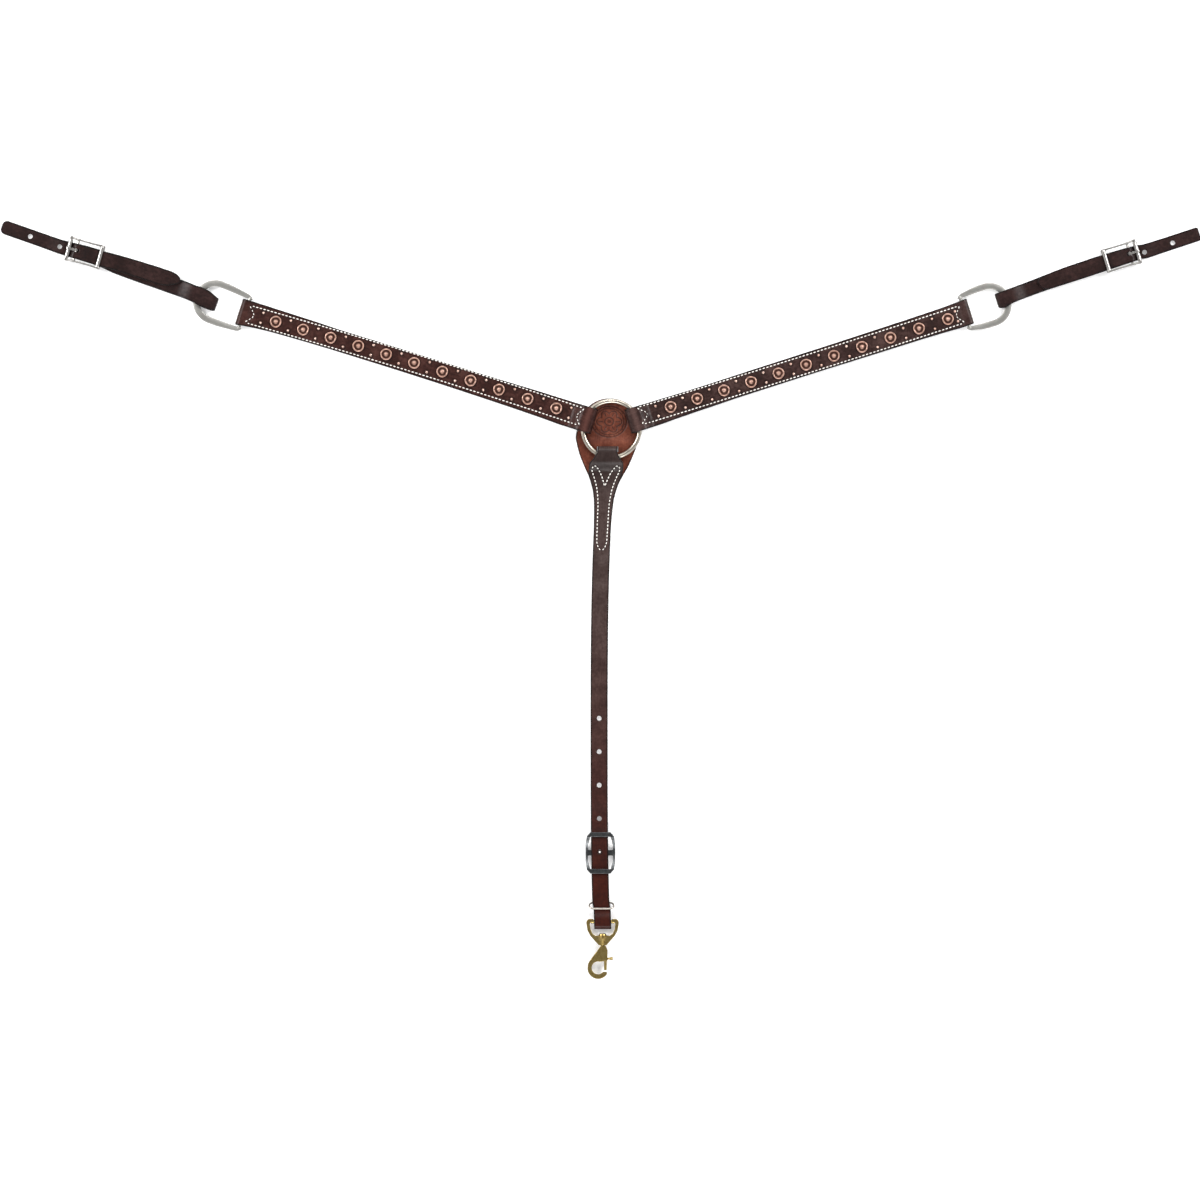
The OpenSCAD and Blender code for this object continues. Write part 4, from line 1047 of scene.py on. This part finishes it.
def safe_disp(a, y, u, z):
    """A tooled oval: two rings with a beaded ring between them, and a rosette of petals with veins round a
    small centre.
    """
    off = waves(a, y, 21, 0.18)
    tool = np.zeros_like(a)

    def press(dist, width, depth, mask=True):
        nonlocal off, tool
        g = np.exp(-(dist / width) ** 2) * mask
        off = off - depth * g
        tool = np.maximum(tool, 0.85 * g)

    cx, cy = -0.5, 9.6
    dx, dy = y - cx, a - cy
    r = np.hypot(dx / 1.12, dy)
    th = np.arctan2(dy, dx)
    press(r - 22.0, 0.9, 0.55)
    press(r - 18.6, 0.7, 0.45)
    petal = 11.2 + 4.8 * np.abs(np.cos(3 * th))
    press(r - petal, 1.0, 0.6, r > 5)
    press(r - 5.6, 0.9, 0.55)
    press(r - 1.2, 1.1, 0.5)
    vein = np.abs(np.sin(3 * th)) * r / 3
    press(vein, 0.7, 0.5, (r > 7.6) & (r < 13.6))
    press(np.hypot(r - 20.3, (np.mod(th * 9 / np.pi, 1) - 0.5) * np.pi / 9 * 20.3), 1.0, 0.4)
    off = off + np.where(r < 18.5, 0.10, 0)
    return off, np.clip(tool, 0, 1)


safe_path = run(safe_z, (-SAFE_TAIL, -26, 30), (-25, -6, 40), (-5, 30, 20), (31, SAFE_TOP_Y - 0.2, 30))
slot_x = girth_mid(-29)
slot = ("slot", SAFE_TAIL - 32.9, SAFE_TAIL - 25.1, slot_x - SAFE_SLOT_HALF, slot_x + SAFE_SLOT_HALF)
o = strip("centre_safe_leather", safe_path, safe_edges, girth_place(), disp=safe_disp, holes=[slot],
          step=0.55, col=0.55)
put(o, "girth", "safe_leather", M["safe"], "centre_safe")

# ---- tugs
DEE_HALF_STOCK = 4.5
STOCK_MID = DEE_HALF_W - DEE_HALF_STOCK


def dee_place(side, z=0):
    """A dee's own frame, from the middle of its bar, to the row frame."""
    arm = ARMS[side]
    at = (arm["bar"], arm_mid(arm["bar"], arm["bend"]) + arm["dee_side"], z)
    m = turn_z(arm["dir"]) @ Matrix.Translation(at)
    return m @ Matrix.Rotation(math.radians(TUGS[side]["dee_turn"]), 4, "Z")


def tug_place(side, tug):
    """A tug's own frame: it starts at the round end of the dee, in its own direction."""
    arm = ARMS[side]
    m = dee_place(side) @ Matrix.Translation((arm["dee_end"], 0, 0))
    m = m @ Matrix.Rotation(math.radians(tug["dir"] - arm["dir"] - tug["dee_turn"]), 4, "Z")
    return m @ Matrix.Translation((STOCK_MID - tug["grip"], tug["side"], 0))


OVER_DEE_Z = DEE_Z + 2 + 0.4 + HALF
DEE_TURN_R = (OVER_DEE_Z - FLOOR_Z) / 2


def tug_rise(s, m):
    if s < m[2] - 20:
        return ease(s, m[1] - 38, m[1] - 14, 0, TUG_LIFT)
    return ease(s, m[2] + 6, m[2] + 34, TUG_LIFT, 0)


def lower_path(m, grip):
    """From the free end past the holes to the dee, round it, back to the buckle's bar and round that."""
    bar = m[2] - BAR_GAP
    under_bar = FLOOR_Z + TUG_STEP + TUG_LIFT
    return (run(lambda s: FLOOR_Z + tug_rise(s, m), (m[5], m[2] + 36, 8), (m[2] + 35, m[2] + 4, 40),
                (m[2] + 3, m[1] - 12, 20), (m[1] - 13, m[1] - 40, 40))
            + run(lambda s: FLOOR_Z, (m[1] - 42, DEE_TURN_R + HALF + 1, 30))
            + arc((DEE_TURN_R + HALF, FLOOR_Z + DEE_TURN_R), DEE_TURN_R, 270, 90, 30)
            + run(lambda s: ease(s, grip + 7, grip + 31, OVER_DEE_Z, FLOOR_Z + TUG_STEP), (8, grip + 34, 60))
            + run(lambda s: FLOOR_Z + TUG_STEP + tug_rise(s, m), (grip + 36, m[1] - 12, 80),
                  (m[1] - 10, bar - 13, 8))
            + run(lambda s: ease(s, bar - 11, bar - 2, under_bar, CENTRE_BAR_Z - BAR_FOLD_R),
                  (bar - 12, bar - 0.5, 24))
            + arc((bar + BAR_FOLD_PAST, CENTRE_BAR_Z), BAR_FOLD_R, -90, 90, 30)
            + run(lambda s: upper_z(s, m), (bar - 0.2, bar - 22, 30), (bar - 23, m[0], 100)))


def upper_z(s, m):
    """The top layer's middle surface, from the buckle's bar back to its pointed end."""
    bar = m[2] - BAR_GAP
    z = FLOOR_Z + 2 * TUG_STEP
    if s > bar - 22:
        return ease(s, bar - 22, bar - 3, z + TUG_LIFT, CENTRE_BAR_Z + BAR_FOLD_R)
    return z + tug_rise(s, m)


HOLE_END_U = 150  # the two holes are cut only in the layer that ends in the free end

for side, tug in TUGS.items():
    m = tug["marks"]
    bar = m[2] - BAR_GAP
    path = lower_path(m, tug["grip"])
    pts = np.array(path)
    u_at = np.concatenate(([0], np.cumsum(np.linalg.norm(np.diff(pts, axis=0), axis=1))))
    bar_u = u_at[np.argmax(np.where(pts[:, 1] > CENTRE_BAR_Z - 2, pts[:, 0], -1))]
    ux, ul, uh = zip(*tug["upper"])
    lx, ll, lh = zip(*tug["lower"])

    def tug_edges(s, u):
        if u > bar_u:
            return smooth_lookup(ux, ul, s), smooth_lookup(ux, uh, s)
        lo, hi = smooth_lookup(lx, ll, s), smooth_lookup(lx, lh, s)
        if s > lx[-1]:
            c = tug["tip_c"]
            f = min(1, (s - lx[-1]) / 30)
            lo, hi = lo + (c - TIP_HALF_W - lo) * f, hi + (c + TIP_HALF_W - hi) * f
        r = tug["tip_r"]
        if s > m[5] - r:
            back = r - math.sqrt(max(0, r * r - (s - m[5] + r) ** 2))
            lo, hi = lo + back, hi - back
        return lo, hi

    def tug_disp(a, y, u, z):
        """A creased line inside the edges, and a lighter band painted just inside the top layer's pointed
        end.
        """
        upper = u > bar_u
        lo = np.where(upper, np.interp(a, ux, ul), np.interp(a, lx, ll))
        hi = np.where(upper, np.interp(a, ux, uh), np.interp(a, lx, lh))
        near = np.minimum(y - lo, hi - y)
        line = np.exp(-((near - 2.5) / 0.5) ** 2) * (a < lx[-1])
        ends = np.clip((ux[0] + 22 - a) / 8, 0, 1)
        bevel = np.where(upper, np.exp(-((near - 1.3) / 0.65) ** 2) * ends, 0)
        line = line * (1 - bevel)
        return waves(a, y, 31 if side == "left" else 33, 0.2) - 0.22 * line, 0.45 * line - bevel

    tug_holes = [("round", h, 0.0, HOLE_R, 0, HOLE_END_U) for h in (m[3], m[4])]
    yc = tug["turn"][0] - BAR_GAP * math.sin(math.radians(tug["turn"][1]))
    tug_holes.append(("slot", bar_u - 8.5, bar_u + 10.5, yc - SLOT_W / 2, yc + SLOT_W / 2))
    o = strip(f"{side}_tug_leather", path, tug_edges, tug_place(side, tug), disp=tug_disp, holes=tug_holes,
              step=0.8, col=0.62)
    o.data.attributes["flesh"].data.foreach_set("value", np.zeros(len(o.data.vertices), np.float32))
    put(o, f"{side}_tug", "tug_leather", M["tug"], f"{side}_tug_strap")

# ---- hardware
CASTS = [
    ("left_dee_casting", "left_dee", 0.38, 10, "left_dee_link", "dee_steel", "satin"),
    ("right_dee_casting", "right_dee", 0.38, 10, "right_dee_link", "dee_steel", "satin"),
    ("left_buckle_casting", "left_buckle_frame", 0.30, 9, "left_tug", "buckle_steel", "polish"),
    ("right_buckle_casting", "right_buckle_frame", 0.30, 9, "right_tug", "buckle_steel", "polish"),
    ("left_tongue_casting", "left_buckle_tongue", 0.16, 8, "left_tongue", "buckle_steel", "polish"),
    ("right_tongue_casting", "right_buckle_tongue", 0.16, 8, "right_tongue", "buckle_steel", "polish"),
    ("conway_casting", "conway_frame", 0.30, 9, "girth", "gunmetal", "gun"),
    ("snap_eye_casting", "snap_eye", 0.25, 8, "eye", "brass", "brass"),
    ("snap_hook_casting", "snap_hook", 0.25, 8, "hook", "brass", "brass"),
    ("snap_thumb_casting", "snap_thumb_knob", 0.14, 5, "bolt", "brass", "brass"),
]
DOME = 0.5


def dome_dee(o, side):
    """Round the dee's flat stock across its width."""
    end = ARMS[side]["dee_end"]
    place = dee_place(side, DEE_Z)
    back = place.inverted()
    for v in o.data.vertices:
        c = back @ v.co
        r = math.hypot(c.x - end, c.y) if c.x > end else abs(c.y)
        f = max(-1.0, min(1.0, (r - STOCK_MID) / DEE_HALF_STOCK))
        if c.x > 3:
            c.z *= 1 - DOME * abs(f) ** 2.2 * min(1.0, (c.x - 3) / 8)
            v.co = place @ c


for name, node, voxel, smooth, body, slot, material in CASTS:
    o = cast(name, node, voxel, smooth)
    if node.endswith("_dee"):
        dome_dee(o, node.split("_")[0])
    put(o, body, slot, M[material], node)

tip = Nodes("girth_stud_tip")
STUD_DOT_R = 0.9
flat = tip.new("ShaderNodeVectorMath", operation="MULTIPLY")
tip.link(tip.obj, flat.inputs[0])
flat.inputs[1].default_value = (1, 1, 0)
off_axis = tip.new("ShaderNodeVectorMath", operation="DISTANCE")
tip.link(flat.outputs[0], off_axis.inputs[0])
stud_x, stud_y = GIRTH_AT[0] + float(girth_mid(-CONWAY_Y)), GIRTH_AT[1] - CONWAY_Y
off_axis.inputs[1].default_value = (stud_x * MM, stud_y * MM, 0)
rim = tip.remap(off_axis.outputs["Value"], STUD_DOT_R * MM, (STUD_DOT_R + 0.5) * MM, 0, 1)
tip.shader(Base_Color=tip.mix(rim, (0.9, 0.88, 0.86), (0.05, 0.03, 0.028)), Metallic=0.3, Roughness=0.35)
M["stud_tip"] = tip.mat

KEPT = {"centre_ring": "nickel", "left_buckle_roller": "polish", "right_buckle_roller": "polish",
        "conway_stud": "stud_tip", "wire_keeper": "wire", "snap_swivel_cap": "brass", "snap_bolt": "brass",
        "snap_spring": "spring"}
for node, material in KEPT.items():
    o = frame["nodes"][node]
    if not o.material_slots:
        o.data.materials.append(M[material])
    for s in o.material_slots:
        s.material = M[material]

# ---- floor, camera, light
bm = bmesh.new()
bmesh.ops.create_grid(bm, x_segments=8, y_segments=8, size=14)
me = bpy.data.meshes.new("floor")
bm.to_mesh(me)
bm.free()
floor = bpy.data.objects.new("floor", me)
floor.location = (0, 0, -0.0006)
bpy.context.scene.collection.objects.link(floor)
n = Nodes("floor_pale")
c = n.mix(n.noise(3, 2), (0.86, 0.86, 0.86), (0.88, 0.88, 0.88))
n.shader(Base_Color=c, Roughness=0.9, Specular_IOR_Level=0.0, Emission_Color=(1, 1, 1, 1),
         Emission_Strength=0.3)
me.materials.append(n.mat)

sc = bpy.context.scene
VIEW_AT = Vector((-0.0158, -0.2390, 0))
HEIGHT = 12.0
FIELD = 1.68
cam_data = bpy.data.cameras.new("camera")
cam_data.sensor_width = 36
cam_data.lens = 36 * HEIGHT / FIELD
cam_data.clip_start, cam_data.clip_end = 0.1, 100
cam = bpy.data.objects.new("camera", cam_data)
cam.location = VIEW_AT + Vector((0, 0, HEIGHT))
sc.collection.objects.link(cam)
sc.camera = cam

world = bpy.data.worlds.new("studio")
sc.world = world
world.use_nodes = True
wt = world.node_tree
bg = wt.nodes["Background"]
tc = wt.nodes.new("ShaderNodeTexCoord")
sep = wt.nodes.new("ShaderNodeSeparateXYZ")
wt.links.new(tc.outputs["Generated"], sep.inputs[0])
rp = wt.nodes.new("ShaderNodeValToRGB")
els = rp.color_ramp.elements
BANDS = [(0.0, 0.16), (0.22, 0.24), (0.42, 1.0), (0.72, 0.9), (0.88, 0.4), (1.0, 0.2)]
while len(els) < len(BANDS):
    els.new(0.5)
for el, (at, grey) in zip(els, BANDS):
    el.position, el.color = at, (grey, grey, grey, 1)
wt.links.new(sep.outputs["Z"], rp.inputs["Fac"])
wt.links.new(rp.outputs["Color"], bg.inputs["Color"])
bg.inputs["Strength"].default_value = 0.75


def area(name, loc, size, power):
    """A soft panel light aimed at the middle of the object."""
    d = bpy.data.lights.new(name, "AREA")
    d.shape = "RECTANGLE"
    d.size, d.size_y = size
    d.energy = power
    ob = bpy.data.objects.new(name, d)
    ob.location = loc
    ob.rotation_euler = (VIEW_AT - Vector(loc)).to_track_quat("-Z", "Y").to_euler()
    sc.collection.objects.link(ob)


area("key", (3.8, 2.2, 3.2), (2.0, 1.6), 210)
area("fill", (-3.8, 1.6, 3.2), (2.0, 1.6), 200)
area("back", (0.0, 3.8, 2.8), (3.0, 1.0), 90)
area("front", (0.3, -4.4, 3.0), (3.6, 1.6), 170)

sc.view_settings.view_transform = "Standard"
sc.view_settings.look = "None"
sc.view_settings.exposure = 0.0
